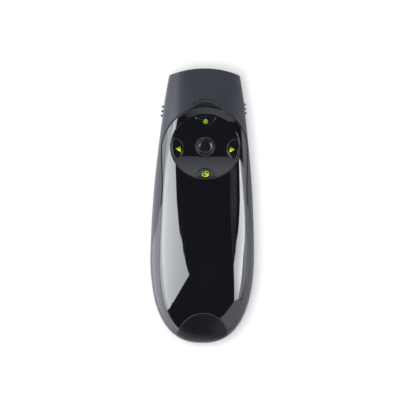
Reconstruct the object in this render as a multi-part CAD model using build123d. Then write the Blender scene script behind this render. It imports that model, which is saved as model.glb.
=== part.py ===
from build123d import *
import math
import os

# Wireless presentation clicker: a hand-held remote with a thumb dish on top.
# Millimetres. +Z is up (the keypad side), +Y points to the nose, where the laser leaves.
# The origin is under the middle of the case, on the surface that it lies on.

# ---------------------------------------------------------------- the case's own shape
# Cross-sections from the nose to the palm: y, half width, equator z, crown z, belly z.
STATIONS = [
    (62.0, 13.7, 12.8, 18.6, 7.0),
    (48.0, 16.3, 12.6, 21.2, 5.2),
    (34.0, 18.1, 12.0, 23.4, 4.2),
    (20.0, 19.65, 11.2, 25.0, 2.4),
    (5.0, 20.95, 10.4, 25.9, 0.2),
    (-8.0, 21.65, 10.0, 26.3, -0.5),
    (-20.0, 22.0, 10.0, 26.3, -0.5),
]
TAIL_LENGTH = 38.4  # from the last station to the tail's tip
TAIL_POWER = 2.45  # how square the tail is in plan
TAIL_ANGLES = (15, 30, 45, 58, 69, 78, 84, 87)  # where its sections lie, in degrees
CROWN_POWER = 2.6  # how square the section is above the equator
BELLY_POWER = 3.5
SECTION_POINTS = 24
NOSE_Y = 58.35  # the nose's front, on the centre line
NOSE_RADIUS = 40.5  # of the front's curve, in plan
FAR = 80.0  # beyond every side of the case

WALL = 1.8  # the two soft-touch shells
COVER_WALL = 1.5  # the glossy cover
GAP = 0.15  # between neighbouring shells
TOUCH = 0.05  # between a piece and the seat under it

SPLIT_DROP = 1.2  # the shells part this far below the equator
RIM_Z = 14.7  # top of the rim round the palm, where the cover stands
LEDGE_WIDTH = 2.0  # of the ledge under the cover's edge
LEDGE_WALL = 1.1
LEDGE_LIP = 1.5  # how far the rim's inner lip rises behind the cover

# ---------------------------------------------------------------- thumb dish
DISH_Y = 25.1
DISH_HALF_X = 14.7
DISH_HALF_Y = 13.55
DISH_FLOOR_Z = 21.0  # the lowest line of the dish
DISH_FLOOR_Y = 28.8  # where that line lies
DISH_SWEEP = 38.3  # radius of the dish along Y
DISH_WALL = 1.5
DISH_FLANGE = 1.1  # how far its flange reaches under the cover

# ---------------------------------------------------------------- glossy cover
COVER_BAND_X = 3.7  # from the dish's edge to the cover's, beside it
COVER_BAND_Y = 3.45  # and in front of it
COVER_RADIUS = DISH_HALF_X + COVER_BAND_X  # its round upper end
COVER_TOP = DISH_Y + DISH_HALF_Y + COVER_BAND_Y
COVER_Y = COVER_TOP - COVER_RADIUS
# Where its side runs below the round end: x, y
COVER_SIDE = [(COVER_RADIUS - 0.25, 6.0), (COVER_RADIUS + 1, -6.7), (COVER_RADIUS + 3, -15.5)]
COVER_SIDE += [(COVER_RADIUS + 6.1, -27.0)]

# ---------------------------------------------------------------- four keys
KEY_RADIUS = 4.42
KEY_STRIP = 0.45  # dish left between a key and the dish's edge
KEY_GAP = 0.12
KEY_RISE = 0.35  # above the dish
KEY_FLANGE = 0.6  # sideways
KEY_FLANGE_WALL = 1.0
KEY_POST_RADIUS = 1.5
SIDE_KEY_X = DISH_HALF_X - 1.0
SIDE_KEY_Y = DISH_Y - 0.8
POST_IN_X = 2.4  # from a key's circle's centre in to its switch
POST_IN_Y = 2.35
KEYS = {  # centre of each key's circle, and of the switch under it
    "laser": ((0.0, DISH_Y + DISH_HALF_Y), (0.0, DISH_Y + DISH_HALF_Y - POST_IN_Y)),
    "blank": ((0.0, DISH_Y - DISH_HALF_Y), (0.0, DISH_Y - DISH_HALF_Y + POST_IN_Y)),
    "back": ((-SIDE_KEY_X, SIDE_KEY_Y), (POST_IN_X - SIDE_KEY_X, SIDE_KEY_Y)),
    "forward": ((SIDE_KEY_X, SIDE_KEY_Y), (SIDE_KEY_X - POST_IN_X, SIDE_KEY_Y)),
}

# ---------------------------------------------------------------- main board and switches
BOARD_Z = 12.2  # underside
BOARD_WALL = 1.2
BOARD_TOP = BOARD_Z + BOARD_WALL
BOARD_Y = (KEYS["blank"][1][1] - 6.3, KEYS["laser"][1][1] + 5.7)
BOARD_HALF_X = 14.0
SWITCH_SIDE = 4.2
SWITCH_HEIGHT = 2.0
PLUNGER_RADIUS = 1.0
PLUNGER_TOP = 18.2
PLUNGER_FOOT = BOARD_TOP + 1.0
POST_X = BOARD_HALF_X - 2.6
POST_SPOTS = [(x, y) for x in (-POST_X, POST_X) for y in (BOARD_Y[0] + 3.6, BOARD_Y[1] - 5.2)]
POST_RADIUS = 1.7
CHIP_SIZE = (6.0, 2.8, 0.9)
CHIP_GAP = 0.9
BOARD_SCREW_RADIUS = 0.8
BOARD_SCREW_HEAD = 1.5

# ---------------------------------------------------------------- thumb joystick
STICK_Z = 16.8  # where the two tilt axes cross
STICK_BOX = 10.4  # outside of the square housing
STICK_WALL = 0.8
STICK_BOX_TOP = 19.1
STICK_LID = 0.3
STICK_LID_HOLE = 2.9
STICK_RADIUS = 0.9
TRUNNION_RADIUS = 0.6
TRUNNION_GAP = 0.05
CAP_RADIUS = 3.3
CAP_NECK_RADIUS = 1.9
CAP_Z = (20.4, 22.9, 24.1)  # neck foot, rim foot, top
WELL_RADIUS = 3.9
WELL_CHAMFER = 0.35

# ---------------------------------------------------------------- status light
STATUS_Y = COVER_TOP - 4.0
STATUS_RADIUS = 7.3
STATUS_RISE = 0.2
STATUS_LEDGE = 1.2  # width of the ledge under the window's edge
PIPE_HALF_X = 2.0
PIPE_WALL = 1.6
PIPE_FOOT_Y = (BOARD_Y[1] - 1.8, BOARD_Y[1] - 1.8 + PIPE_WALL)  # over the light
PIPE_GAP = 0.4  # between its head and the ledges on either side
PIPE_HEAD_Y = (COVER_TOP + GAP + PIPE_GAP, STATUS_Y + STATUS_RADIUS - STATUS_LEDGE - PIPE_GAP)
PIPE_BRIDGE_Z = (16.6, 18.0)
LED_SIZE = (1.6, 1.0, 0.8)

# ---------------------------------------------------------------- laser
LASER_Z = 12.8
LASER_RADIUS = 3.2
LASER_Y = (BOARD_Y[1] + 2.0, 54.9)
LASER_BORE = 1.2
APERTURE_RADIUS = 1.8
PLATE_RECESS = 0.6  # the nose plate's step behind the shells' edge
PLATE_WALL = 1.4
WINDOW_RADIUS = 2.8
WINDOW_WALL = 0.8

# ---------------------------------------------------------------- finger grip
GRIP_Y = (37.4, 44.4)
GRIP_WALL = 1.0
GRIP_DROP = 0.15  # below the shells' parting line
GRIP_RISE = 0.75  # how far its ribs stand out
RIB_Y = 40.9
RIB_PITCH = 1.87
RIB_WIDTH = 0.75
RIB_SLANT = 2.3  # degrees, the right end to the nose

# ---------------------------------------------------------------- trigger
TRIGGER_HALF_X = 6.4
TRIGGER_Y = (21.7, 35.0)
TRIGGER_CORNER = 2.0
TRIGGER_TOP = 8.0  # above which its opening needs no cut
TRIGGER_RISE = 0.6
TRIGGER_WALL = 1.2
TRIGGER_GAP = 0.35
PIN_Y = 19.4
PIN_Z = 7.0
PIN_RADIUS = 0.75
PIN_GAP = 0.05
KNUCKLE_RADIUS = 1.6
KNUCKLE_HALF_X = 5.0
EAR_X = (5.2, 6.9)
TRIGGER_SWITCH_Y = 29.0
TRIGGER_SWITCH_BORE = 1.3
TRIGGER_PLUNGER_RADIUS = 0.9
TRIGGER_PLUNGER_Z = (9.4, 11.2)

# ---------------------------------------------------------------- power switch
POWER_Y = 12.6
POWER_TRAVEL = 3.0  # along X, from off to on
POWER_KNOB = (3.6, 2.4)
POWER_KNOB_Z = 0.9
POWER_FLANGE = (8.4, 4.0)
POWER_FLANGE_Z = (3.6, 4.4)
POWER_PIN_RADIUS = 0.7
POWER_SWITCH_SIZE = (8.6, 3.6, 2.8)

# ---------------------------------------------------------------- batteries and their bay
CELL_RADIUS = 5.25
CELL_LENGTH = 43.3
NUB_RADIUS = 1.9
NUB_LENGTH = 1.2
CELL_X = 5.45
CELL_Z = 7.5
CELL_FRONT = 5.2  # both cells end here
CELL_BACK = CELL_FRONT - CELL_LENGTH - NUB_LENGTH
SPRING_ROOM = 4.5  # behind the cells
TRAY_WALL = 1.0
TRAY_X = (CELL_X + CELL_RADIUS + 0.7, CELL_X + CELL_RADIUS + 1.9)
TRAY_Y = (CELL_BACK - SPRING_ROOM - TRAY_WALL, CELL_FRONT + 0.7 + TRAY_WALL)
TRAY_TOP = 14.0
SPRING_RADIUS = 2.3
SPRING_WIRE = 0.25
SPRING_TURNS = 4
CONTACT_WALL = 0.3
DOOR_HALF_X = CELL_X + CELL_RADIUS + 0.5
DOOR_Y = (CELL_BACK - 2.2, CELL_FRONT + 0.4)
DOOR_CORNER = 2.5
TAB_X = (DOOR_HALF_X - 2.0, DOOR_HALF_X - 0.4)  # where the cells curve away from the door
TAB_REACH = 1.4
TAB_Z = (2.75, 3.4)
NOTCH_RADIUS = 5.0

# ---------------------------------------------------------------- USB receiver in the tail
CAP_ARC = 10.9
CAP_ARC_Y = -56.2
RECEIVER_HALF_X = 8.0
RECEIVER_Z = (15.2, 20.8)
RECEIVER_Y = (-47.0, -23.0)
PLUG_SIZE = (12.0, 14.0, 4.5)
PLUG_WALL = 0.35
TONGUE = (10.8, 12.5, 1.8)
SLEEVE_WALL = 0.9
SLEEVE_Z = 14.15
SLEEVE_Y = (-44.6, -8.0)

# ---------------------------------------------------------------- case screws
SCREW_RADIUS = 1.0
SCREW_HEAD_RADIUS = 1.9
SCREW_HEAD_WALL = 1.4
BOSS_RADIUS = 2.4
NOSE_SCREW = (10.0, 50.0)
PALM_SCREW = (16.0, -30.0)
NOSE_SEAT_Z = 8.4
PALM_SEAT_Z = 3.4
SCREW_LENGTH = 8.0


# ================================================================ helpers
def block(x, y, z):
    """A box from its low and high sides on each axis."""
    size = Vector(x[1] - x[0], y[1] - y[0], z[1] - z[0])
    middle = Pos((x[0] + x[1]) / 2, (y[0] + y[1]) / 2, (z[0] + z[1]) / 2)
    return middle * Box(size.X, size.Y, size.Z)


def disc(x, y, radius, low=-FAR, high=FAR):
    """An upright cylinder."""
    return Pos(x, y, (low + high) / 2) * Cylinder(radius, high - low)


def rod_x(y, z, radius, low, high):
    return Pos((low + high) / 2, y, z) * Rot(0, 90, 0) * Cylinder(radius, high - low)


def rod_y(x, z, radius, low, high):
    return Pos(x, (low + high) / 2, z) * Rot(90, 0, 0) * Cylinder(radius, high - low)


def rounded_block(x, y, z, corner):
    """A box with its upright edges rounded."""
    plain = block(x, y, z)
    return fillet(plain.edges().filter_by(Axis.Z), corner)


def both_sides(solid):
    return solid + mirror(solid, Plane.YZ)


# ================================================================ the case as a surface
def section(y, half_width, middle, crown, belly):
    """One closed cross-section: a superellipse, squarer below the equator."""
    points = []
    for step in range(SECTION_POINTS):
        angle = 2 * math.pi * step / SECTION_POINTS - math.pi / 2
        across, up = math.cos(angle), math.sin(angle)
        power = CROWN_POWER if up >= 0 else BELLY_POWER
        height = crown - middle if up >= 0 else middle - belly
        x = half_width * math.copysign(abs(across) ** (2 / power), across)
        z = middle + height * math.copysign(abs(up) ** (2 / power), up)
        points.append(Vector(x, y, z))
    return Wire([Edge.make_spline(points, periodic=True)])


def skin(inset):
    """The whole case as one solid, with its surface moved inwards by inset."""
    sections = [
        section(y, half_width - inset, middle, crown - inset, belly + inset)
        for y, half_width, middle, crown, belly in STATIONS
    ]
    y, half_width, middle, crown, belly = STATIONS[-1]
    for angle in TAIL_ANGLES:
        share = math.sin(math.radians(angle))
        narrow = (1 - share**TAIL_POWER) ** (1 / TAIL_POWER)
        sections.append(
            section(
                y - (TAIL_LENGTH - inset) * share,
                (half_width - inset) * narrow,
                middle,
                middle + (crown - inset - middle) * narrow,
                middle - (middle - belly - inset) * narrow,
            )
        )
    return Solid.make_loft(sections)


def nose_curve(inset):
    """Everything behind the nose's front, moved back by inset."""
    centre = NOSE_Y - NOSE_RADIUS
    return disc(0, centre, NOSE_RADIUS - inset) + block((-FAR, FAR), (-FAR, centre), (-FAR, FAR))


def above_split(clear):
    """The space over the surface where the two shells part."""
    line = [(y, middle - SPLIT_DROP + clear) for y, _, middle, _, _ in STATIONS]
    tail = (-FAR, line[-1][1])
    edge = Spline(*[Vector(0, y, z) for y, z in line], tangents=[(0, -1, 0), (0, -1, 0)])
    outline = [
        edge,
        Line((0, *line[-1]), (0, *tail)),
        Line((0, *tail), (0, tail[0], FAR)),
        Line((0, tail[0], FAR), (0, line[0][0], FAR)),
        Line((0, line[0][0], FAR), (0, *line[0])),
    ]
    face = make_face(outline)
    return extrude(face, FAR, dir=(1, 0, 0), both=True)


def cover_region(grow):
    """The cover's outline in plan, grown by grow, as an upright prism over the rim."""
    radius = COVER_RADIUS + grow
    points = [(radius, COVER_Y)] + [(x + grow, y) for x, y in COVER_SIDE]
    last_x, last_y = points[-1]
    right = Spline(*points, tangents=[(0, -1), (0, -1)])
    left = Spline(*[(-x, y) for x, y in points], tangents=[(0, -1), (0, -1)])
    top = ThreePointArc((radius, COVER_Y), (0, COVER_Y + radius), (-radius, COVER_Y))
    foot = Polyline((last_x, last_y), (last_x, -FAR), (-last_x, -FAR), (-last_x, last_y))
    return extrude(make_face([top, right, foot, left]), FAR)


def dish_region(grow):
    """The dish's oval in plan, grown by grow, as an upright prism."""
    oval = Ellipse(DISH_HALF_X + grow, DISH_HALF_Y + grow)
    return extrude(Pos(0, DISH_Y, 0) * oval, FAR)


def over_dish(lower):
    """The cylinder that hollows the dish, moved down by lower."""
    return rod_x(DISH_FLOOR_Y, DISH_FLOOR_Z + DISH_SWEEP, DISH_SWEEP + lower, -FAR, FAR)


def key_region(name, grow):
    """A key's lens shape in plan, grown by grow, as an upright prism."""
    (x, y), _ = KEYS[name]
    return disc(x, y, KEY_RADIUS + grow, 0, FAR) & dish_region(grow - KEY_STRIP)


OUTSIDE = skin(0) & nose_curve(0) & block((-FAR, FAR), (-FAR, FAR), (0, FAR))
INSIDE = skin(WALL)
SCREW_SPOTS = [
    (side * x, y, seat)
    for (x, y), seat in ((NOSE_SCREW, NOSE_SEAT_Z), (PALM_SCREW, PALM_SEAT_Z))
    for side in (-1, 1)
]


# ================================================================ shells
def make_upper_case():
    """The soft-touch frame: nose, shoulders and the rim round the palm, with a ledge for the cover."""
    upper = above_split(0)
    shell = (OUTSIDE - INSIDE) & upper
    shell -= cover_region(0) & block((-FAR, FAR), (-FAR, FAR), (RIM_Z, FAR))
    shell -= disc(0, STATUS_Y, STATUS_RADIUS, RIM_Z, FAR)
    ledge_skin = skin(COVER_WALL + TOUCH) - skin(COVER_WALL + LEDGE_WALL)
    ledge_skin &= nose_curve(WALL) & upper
    round_top = cover_region(GAP) - cover_region(-LEDGE_WIDTH)
    round_light = disc(0, STATUS_Y, STATUS_RADIUS + GAP) - disc(0, STATUS_Y, STATUS_RADIUS - STATUS_LEDGE)
    over_rim = block((-FAR, FAR), (-FAR, FAR), (RIM_Z - 1, FAR))
    round_top &= over_rim
    round_light &= over_rim - cover_region(-LEDGE_WIDTH)
    lip = block((-FAR, FAR), (-FAR, -8), (RIM_Z - LEDGE_LIP, RIM_Z + LEDGE_LIP))
    shell += ledge_skin & round_top
    shell += ledge_skin & round_light
    shell += ledge_skin & lip
    shell -= block((-CAP_ARC, CAP_ARC), (-FAR, -40), (RIM_Z, FAR))
    (nose_x, nose_y), (palm_x, palm_y) = NOSE_SCREW, PALM_SCREW
    boss = disc(nose_x, nose_y, BOSS_RADIUS, 0, FAR)
    boss += disc(palm_x, palm_y, BOSS_RADIUS, 0, RIM_Z - GAP)
    web = (palm_y - BOSS_RADIUS / 2, palm_y + BOSS_RADIUS / 2)
    boss += block((palm_x, palm_x + 2 * BOSS_RADIUS), web, (0, RIM_Z - GAP))
    shell += both_sides(boss) & skin(WALL - TOUCH) & above_split(TOUCH)
    for x, y, seat in SCREW_SPOTS:
        shell -= disc(x, y, SCREW_RADIUS, seat, seat + SCREW_LENGTH + 0.5)
    return shell


def make_lower_case():
    """The soft-touch tub: belly, finger side and palm, open for the battery door, trigger and switch."""
    below = OUTSIDE - above_split(-GAP / 3)
    shell = below - INSIDE
    shell -= door_region(GAP)
    shell -= trigger_region(TRIGGER_GAP)
    travel = (-POWER_TRAVEL - POWER_KNOB[0]) / 2 - GAP
    deep = POWER_KNOB[1] / 2 + GAP
    shell -= block((travel, -travel), (POWER_Y - deep, POWER_Y + deep), (0, FAR))
    shell -= grip_region(GAP / 3) - skin(GRIP_WALL)
    posts = grip_seat = None
    for x, y in POST_SPOTS:
        post = disc(x, y, POST_RADIUS, 0, BOARD_Z)
        posts = post if posts is None else posts + post
    ears = both_sides(block(EAR_X, (PIN_Y - 1.6, PIN_Y + 1.6), (0, PIN_Z + 1.6)))
    rest = block((-4.6, 4.6), (46, 48), (0, LASER_Z)) + block((-4.6, 4.6), (51, 53), (0, LASER_Z))
    rest -= rod_y(0, LASER_Z, LASER_RADIUS + TOUCH, 40, FAR)
    inner = (posts + ears + rest) & skin(WALL - TOUCH)
    bosses = None
    for x, y, seat in SCREW_SPOTS:
        boss = disc(x, y, BOSS_RADIUS, 0, FAR)
        bosses = boss if bosses is None else bosses + boss
    inner += bosses & (OUTSIDE - above_split(-GAP / 3))
    shell += inner
    for x, y, seat in SCREW_SPOTS:
        shell -= disc(x, y, SCREW_RADIUS + 0.1, 0, FAR)
        shell -= disc(x, y, SCREW_HEAD_RADIUS + 0.1, 0, seat)
    for x, y in POST_SPOTS:
        shell -= disc(x, y, BOARD_SCREW_RADIUS, BOARD_Z - 3.2, FAR)
    shell -= rod_x(PIN_Y, PIN_Z, PIN_RADIUS, -EAR_X[1] - 1, EAR_X[1] + 1)
    return shell


def make_top_cover():
    """The glossy teardrop over the palm, cut out for the thumb dish and the receiver's end."""
    cover = (OUTSIDE - skin(COVER_WALL)) & cover_region(-GAP)
    cover &= block((-FAR, FAR), (-FAR, FAR), (RIM_Z + TOUCH, FAR))
    cover -= dish_region(GAP / 2)
    return cover - disc(0, CAP_ARC_Y, CAP_ARC) - receiver_path()


# ================================================================ thumb dish, keys, status light
def make_thumb_dish():
    """The hollow oval plate under the thumb, with the joystick's well and four key openings."""
    plate = dish_region(-GAP / 2) & (over_dish(DISH_WALL) - over_dish(0))
    ring = dish_region(DISH_FLANGE) - dish_region(-2)
    flange = ring & (skin(COVER_WALL + TOUCH) - skin(COVER_WALL + LEDGE_WALL))
    for name, ((x, y), _) in KEYS.items():
        flange -= disc(x, y, KEY_RADIUS + 1.1)
    flange &= block((-FAR, FAR), (-FAR, FAR), (RIM_Z, FAR))
    dish = plate + (flange - over_dish(0))
    for name in KEYS:
        dish -= key_region(name, 0)
    dish -= disc(0, DISH_Y, WELL_RADIUS)
    slope = WELL_RADIUS + WELL_CHAMFER
    low = DISH_FLOOR_Z + 0.15 - WELL_CHAMFER
    cone = Cone(WELL_RADIUS, WELL_RADIUS + 3 * WELL_CHAMFER, 3 * WELL_CHAMFER)
    return dish - Pos(0, DISH_Y, low + 1.5 * WELL_CHAMFER) * cone


def make_key(name):
    """One key: its cap in the dish's opening, a flange that stops it, and a post over its switch."""
    _, (x, y) = KEYS[name]
    top = over_dish(-KEY_RISE)
    under = DISH_WALL + TOUCH
    cap = key_region(name, -KEY_GAP) & (over_dish(under + KEY_FLANGE_WALL) - top)
    wide = key_region(name, KEY_FLANGE) & dish_region(-GAP)
    flange = wide & (over_dish(under + KEY_FLANGE_WALL) - over_dish(under))
    post = disc(x, y, KEY_POST_RADIUS, PLUNGER_TOP, FAR) - over_dish(under + KEY_FLANGE_WALL / 2)
    return cap + flange + (post & over_dish(FAR))


def make_plunger(name):
    _, (x, y) = KEYS[name]
    return disc(x, y, PLUNGER_RADIUS, PLUNGER_FOOT, PLUNGER_TOP)


def make_key_switches():
    """The four push switches on the board, one under each key."""
    half = SWITCH_SIDE / 2
    switches = []
    for _, (x, y) in KEYS.values():
        high = BOARD_TOP + SWITCH_HEIGHT
        body = block((x - half, x + half), (y - half, y + half), (BOARD_TOP, high))
        switches.append(body - disc(x, y, PLUNGER_RADIUS + 0.06, PLUNGER_FOOT - 0.5, FAR))
    return switches


def make_status_window():
    """The smoked crescent over the status light, with a stem that carries the light up."""
    region = disc(0, STATUS_Y, STATUS_RADIUS - GAP) - cover_region(GAP)
    region &= block((-FAR, FAR), (-FAR, FAR), (RIM_Z, FAR))
    lens = region & (skin(-STATUS_RISE) - skin(COVER_WALL))
    return lens


def make_light_pipe():
    """The clear pipe that leads the light forward, over the laser, to the window."""
    x = (-PIPE_HALF_X, PIPE_HALF_X)
    low, high = PIPE_BRIDGE_Z
    pipe = block(x, PIPE_FOOT_Y, (BOARD_TOP + LED_SIZE[2] + 0.2, high))
    pipe += block(x, (PIPE_FOOT_Y[0], PIPE_HEAD_Y[1]), (low, high))
    pipe += block(x, PIPE_HEAD_Y, (low, FAR))
    return pipe & skin(COVER_WALL + TOUCH)


def make_status_led():
    long, wide, high = LED_SIZE
    return Pos(0, sum(PIPE_FOOT_Y) / 2, BOARD_TOP + high / 2) * Box(long, wide, high)


# ================================================================ joystick
def make_joystick_housing():
    """A square cup on the board, with bearing holes for the two rockers."""
    half = STICK_BOX / 2
    inner = half - STICK_WALL
    cup = block((-half, half), (DISH_Y - half, DISH_Y + half), (BOARD_TOP, STICK_BOX_TOP))
    cup -= block((-inner, inner), (DISH_Y - inner, DISH_Y + inner), (BOARD_TOP + 0.4, FAR))
    bore = TRUNNION_RADIUS + TRUNNION_GAP
    cup -= rod_x(DISH_Y, STICK_Z, bore, -FAR, FAR)
    return cup - rod_y(0, STICK_Z, bore, 0, FAR)


def make_joystick_lid():
    half = STICK_BOX / 2
    sides = ((-half, half), (DISH_Y - half, DISH_Y + half))
    lid = block(*sides, (STICK_BOX_TOP, STICK_BOX_TOP + STICK_LID))
    return lid - disc(0, DISH_Y, STICK_LID_HOLE)


def make_tilt_rocker():
    """The rocker that turns about X. The stick's cross pin sits in it."""
    reach = STICK_BOX / 2 - STICK_WALL - 0.2
    bar = block((-reach, reach), (DISH_Y - 1.5, DISH_Y + 1.5), (STICK_Z - 0.6, STICK_Z + 0.6))
    bar -= block((-2.2, 2.2), (DISH_Y - 0.65, DISH_Y + 0.65), (0, FAR))
    end = STICK_BOX / 2 - 0.1
    trunnions = rod_x(DISH_Y, STICK_Z, TRUNNION_RADIUS, reach - 0.5, end)
    rocker = bar + both_sides(trunnions)
    return rocker - rod_y(0, STICK_Z, 0.45, DISH_Y - 2, DISH_Y + 2)


def make_follower_rocker():
    """The arched rocker that turns about Y. The stick runs in its slot."""
    reach = STICK_BOX / 2 - STICK_WALL - 0.2
    top = (STICK_Z + 1.3, STICK_Z + 1.9)
    arch = block((-1.5, 1.5), (DISH_Y - reach, DISH_Y + reach), top)
    arch -= block((-1.02, 1.02), (DISH_Y - 2.2, DISH_Y + 2.2), (0, FAR))
    cheek = block((-1.2, 1.2), (DISH_Y + reach - 0.8, DISH_Y + reach), (STICK_Z - 0.8, top[1]))
    end = STICK_BOX / 2 - 0.1
    cheek += rod_y(0, STICK_Z, TRUNNION_RADIUS, DISH_Y + reach - 0.5, DISH_Y + end)
    far_cheek = Pos(0, 2 * DISH_Y, 0) * mirror(cheek, Plane.XZ)
    return arch + cheek + far_cheek


def make_stick():
    """The stick: a shaft, a flat tongue with a cross pin at the tilt axes, and a foot."""
    shaft = disc(0, DISH_Y, STICK_RADIUS, STICK_Z + 1.0, CAP_Z[1])
    tongue = block((-0.7, 0.7), (DISH_Y - 0.55, DISH_Y + 0.55), (STICK_Z - 0.9, STICK_Z + 1.2))
    pin = rod_y(0, STICK_Z, 0.4, DISH_Y - 1.45, DISH_Y + 1.45)
    foot = disc(0, DISH_Y, 0.5, STICK_Z - 1.5, STICK_Z - 0.8)
    foot += disc(0, DISH_Y, 1.5, STICK_Z - 1.7, STICK_Z - 1.4)
    return shaft + tongue + pin + foot


def make_stick_cap():
    """The round rubber cap, rimmed and slightly hollow on top."""
    neck_z, rim_z, top_z = CAP_Z
    rim = disc(0, DISH_Y, CAP_RADIUS, rim_z, top_z)
    rim = fillet(rim.edges().filter_by(GeomType.CIRCLE).sort_by(Axis.Z)[-1], 0.65)
    rim -= Pos(0, DISH_Y, top_z + 6.6) * Sphere(6.9)
    cap = rim + disc(0, DISH_Y, CAP_NECK_RADIUS, neck_z, rim_z + 0.1)
    return cap - disc(0, DISH_Y, STICK_RADIUS, 0, CAP_Z[1])


def make_centring_spring():
    """The short coil under the stick's foot."""
    low = BOARD_TOP + 0.4 + 0.16
    path = Pos(0, DISH_Y, low) * Helix(pitch=0.36, height=0.5, radius=2.0)
    wire = (path ^ 0) * Circle(0.13)
    return sweep(wire, path, is_frenet=True)


# ================================================================ laser
def make_nose_plate():
    """The dark plate set into the open nose, with the laser's aperture."""
    band = nose_curve(PLATE_RECESS) - nose_curve(PLATE_RECESS + PLATE_WALL)
    plate = skin(WALL + TOUCH) & band & block((-FAR, FAR), (40, FAR), (0, FAR))
    return plate - rod_y(0, LASER_Z, APERTURE_RADIUS, 40, FAR)


def make_laser_window():
    back = NOSE_Y - PLATE_RECESS - PLATE_WALL - TOUCH - WINDOW_RADIUS**2 / (2 * NOSE_RADIUS) - TOUCH
    return rod_y(0, LASER_Z, WINDOW_RADIUS, back - WINDOW_WALL, back)


def make_laser_barrel():
    barrel = rod_y(0, LASER_Z, LASER_RADIUS, *LASER_Y)
    return barrel - rod_y(0, LASER_Z, LASER_BORE, LASER_Y[1] - 5, FAR)


def make_laser_lens():
    return rod_y(0, LASER_Z, LASER_BORE, LASER_Y[1] - 2.2, LASER_Y[1] - 1)


def make_laser_board():
    back = LASER_Y[0]
    return block((-2.6, 2.6), (back - 1.2, back), (LASER_Z + 0.9, LASER_Z + 3.4)) + block(
        (-2.6, 2.6), (back - 1.2, back), (LASER_Z - 3, LASER_Z + 0.9)
    )


# ================================================================ grip and trigger
def grip_region(grow):
    band = block((-FAR, FAR), (GRIP_Y[0] - grow, GRIP_Y[1] + grow), (0, FAR))
    return band - above_split(grow - GRIP_DROP)


def make_finger_grip():
    """The rubber band round the finger side, with three ribs that show past both sides."""
    band = (skin(0) - skin(GRIP_WALL - TOUCH)) & grip_region(0)
    for step in (-1, 0, 1):
        slab = block((-FAR, FAR), (-RIB_WIDTH / 2, RIB_WIDTH / 2), (0, FAR))
        slab = Pos(0, RIB_Y + step * RIB_PITCH, 0) * Rot(0, 0, RIB_SLANT) * slab
        band += (skin(-GRIP_RISE) - skin(GRIP_WALL / 2)) & slab & grip_region(0)
    return band


def trigger_region(grow):
    x = (-TRIGGER_HALF_X - grow, TRIGGER_HALF_X + grow)
    y = (TRIGGER_Y[0] - grow, TRIGGER_Y[1] + grow)
    return rounded_block(x, y, (0, TRIGGER_TOP), TRIGGER_CORNER + grow)


def make_trigger():
    """The finger trigger: a plate in the belly, hung on a pin behind it, with a post to its switch."""
    plate = (skin(-TRIGGER_RISE) - skin(TRIGGER_WALL)) & trigger_region(0)
    half = KNUCKLE_HALF_X
    neck = block((-half, half), (TRIGGER_Y[0] + 0.2, TRIGGER_Y[0] + 2.6), (4, PIN_Z + 0.4))
    neck &= skin(TRIGGER_WALL / 2)
    arm = block((-half, half), (PIN_Y, TRIGGER_Y[0] + 2.6), (PIN_Z - 1.2, PIN_Z + 0.4))
    knuckle = rod_x(PIN_Y, PIN_Z, KNUCKLE_RADIUS, -half, half)
    post = disc(0, TRIGGER_SWITCH_Y, 1.3, 4, TRIGGER_PLUNGER_Z[0]) & skin(TRIGGER_WALL / 2)
    lever = plate + neck + arm + knuckle + post
    return lever - rod_x(PIN_Y, PIN_Z, PIN_RADIUS + PIN_GAP, -half - 1, half + 1)


def make_trigger_pin():
    return rod_x(PIN_Y, PIN_Z, PIN_RADIUS, -EAR_X[1], EAR_X[1])


def make_trigger_switch():
    half = SWITCH_SIDE / 2
    y = (TRIGGER_SWITCH_Y - half, TRIGGER_SWITCH_Y + half)
    body = block((-half, half), y, (BOARD_Z - SWITCH_HEIGHT, BOARD_Z))
    return body - disc(0, TRIGGER_SWITCH_Y, TRIGGER_SWITCH_BORE, 0, BOARD_Z - 0.3)


def make_trigger_plunger():
    return disc(0, TRIGGER_SWITCH_Y, TRIGGER_PLUNGER_RADIUS, *TRIGGER_PLUNGER_Z)


# ================================================================ power switch
def make_power_knob():
    """The sliding knob, off at rest, with a flange inside the case and a pin into its switch."""
    x = -POWER_TRAVEL / 2
    half_x, half_y = POWER_KNOB[0] / 2, POWER_KNOB[1] / 2
    wide_x, wide_y = POWER_FLANGE[0] / 2, POWER_FLANGE[1] / 2
    low, high = POWER_FLANGE_Z
    knob = block((x - half_x, x + half_x), (POWER_Y - half_y, POWER_Y + half_y), (POWER_KNOB_Z, low))
    knob += block((x - wide_x, x + wide_x), (POWER_Y - wide_y, POWER_Y + wide_y), (low, high))
    return knob + disc(x, POWER_Y, POWER_PIN_RADIUS, high, BOARD_Z - 1.6)


def make_power_switch():
    long, wide, high = POWER_SWITCH_SIZE
    low = BOARD_Z - high
    body = block((-long / 2, long / 2), (POWER_Y - wide / 2, POWER_Y + wide / 2), (low, BOARD_Z))
    reach = POWER_TRAVEL / 2 + POWER_PIN_RADIUS + 0.15
    deep = POWER_PIN_RADIUS + 0.1
    return body - block((-reach, reach), (POWER_Y - deep, POWER_Y + deep), (low, BOARD_Z - 1.4))


# ================================================================ boards and batteries
def make_main_board():
    """The main circuit board, on four posts of the lower shell."""
    half = BOARD_HALF_X
    board = rounded_block((-half, half), BOARD_Y, (BOARD_Z, BOARD_TOP), 3)
    for x, y in POST_SPOTS:
        board -= disc(x, y, BOARD_SCREW_RADIUS + 0.1)
    return board


def make_board_screws():
    screws = []
    for x, y in POST_SPOTS:
        head = disc(x, y, BOARD_SCREW_HEAD, BOARD_TOP, BOARD_TOP + 0.9)
        head -= block((x - 1.1, x + 1.1), (y - 0.2, y + 0.2), (BOARD_TOP + 0.5, FAR))
        screws.append(head + disc(x, y, BOARD_SCREW_RADIUS, BOARD_Z - 3, BOARD_TOP + 0.1))
    return screws


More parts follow.
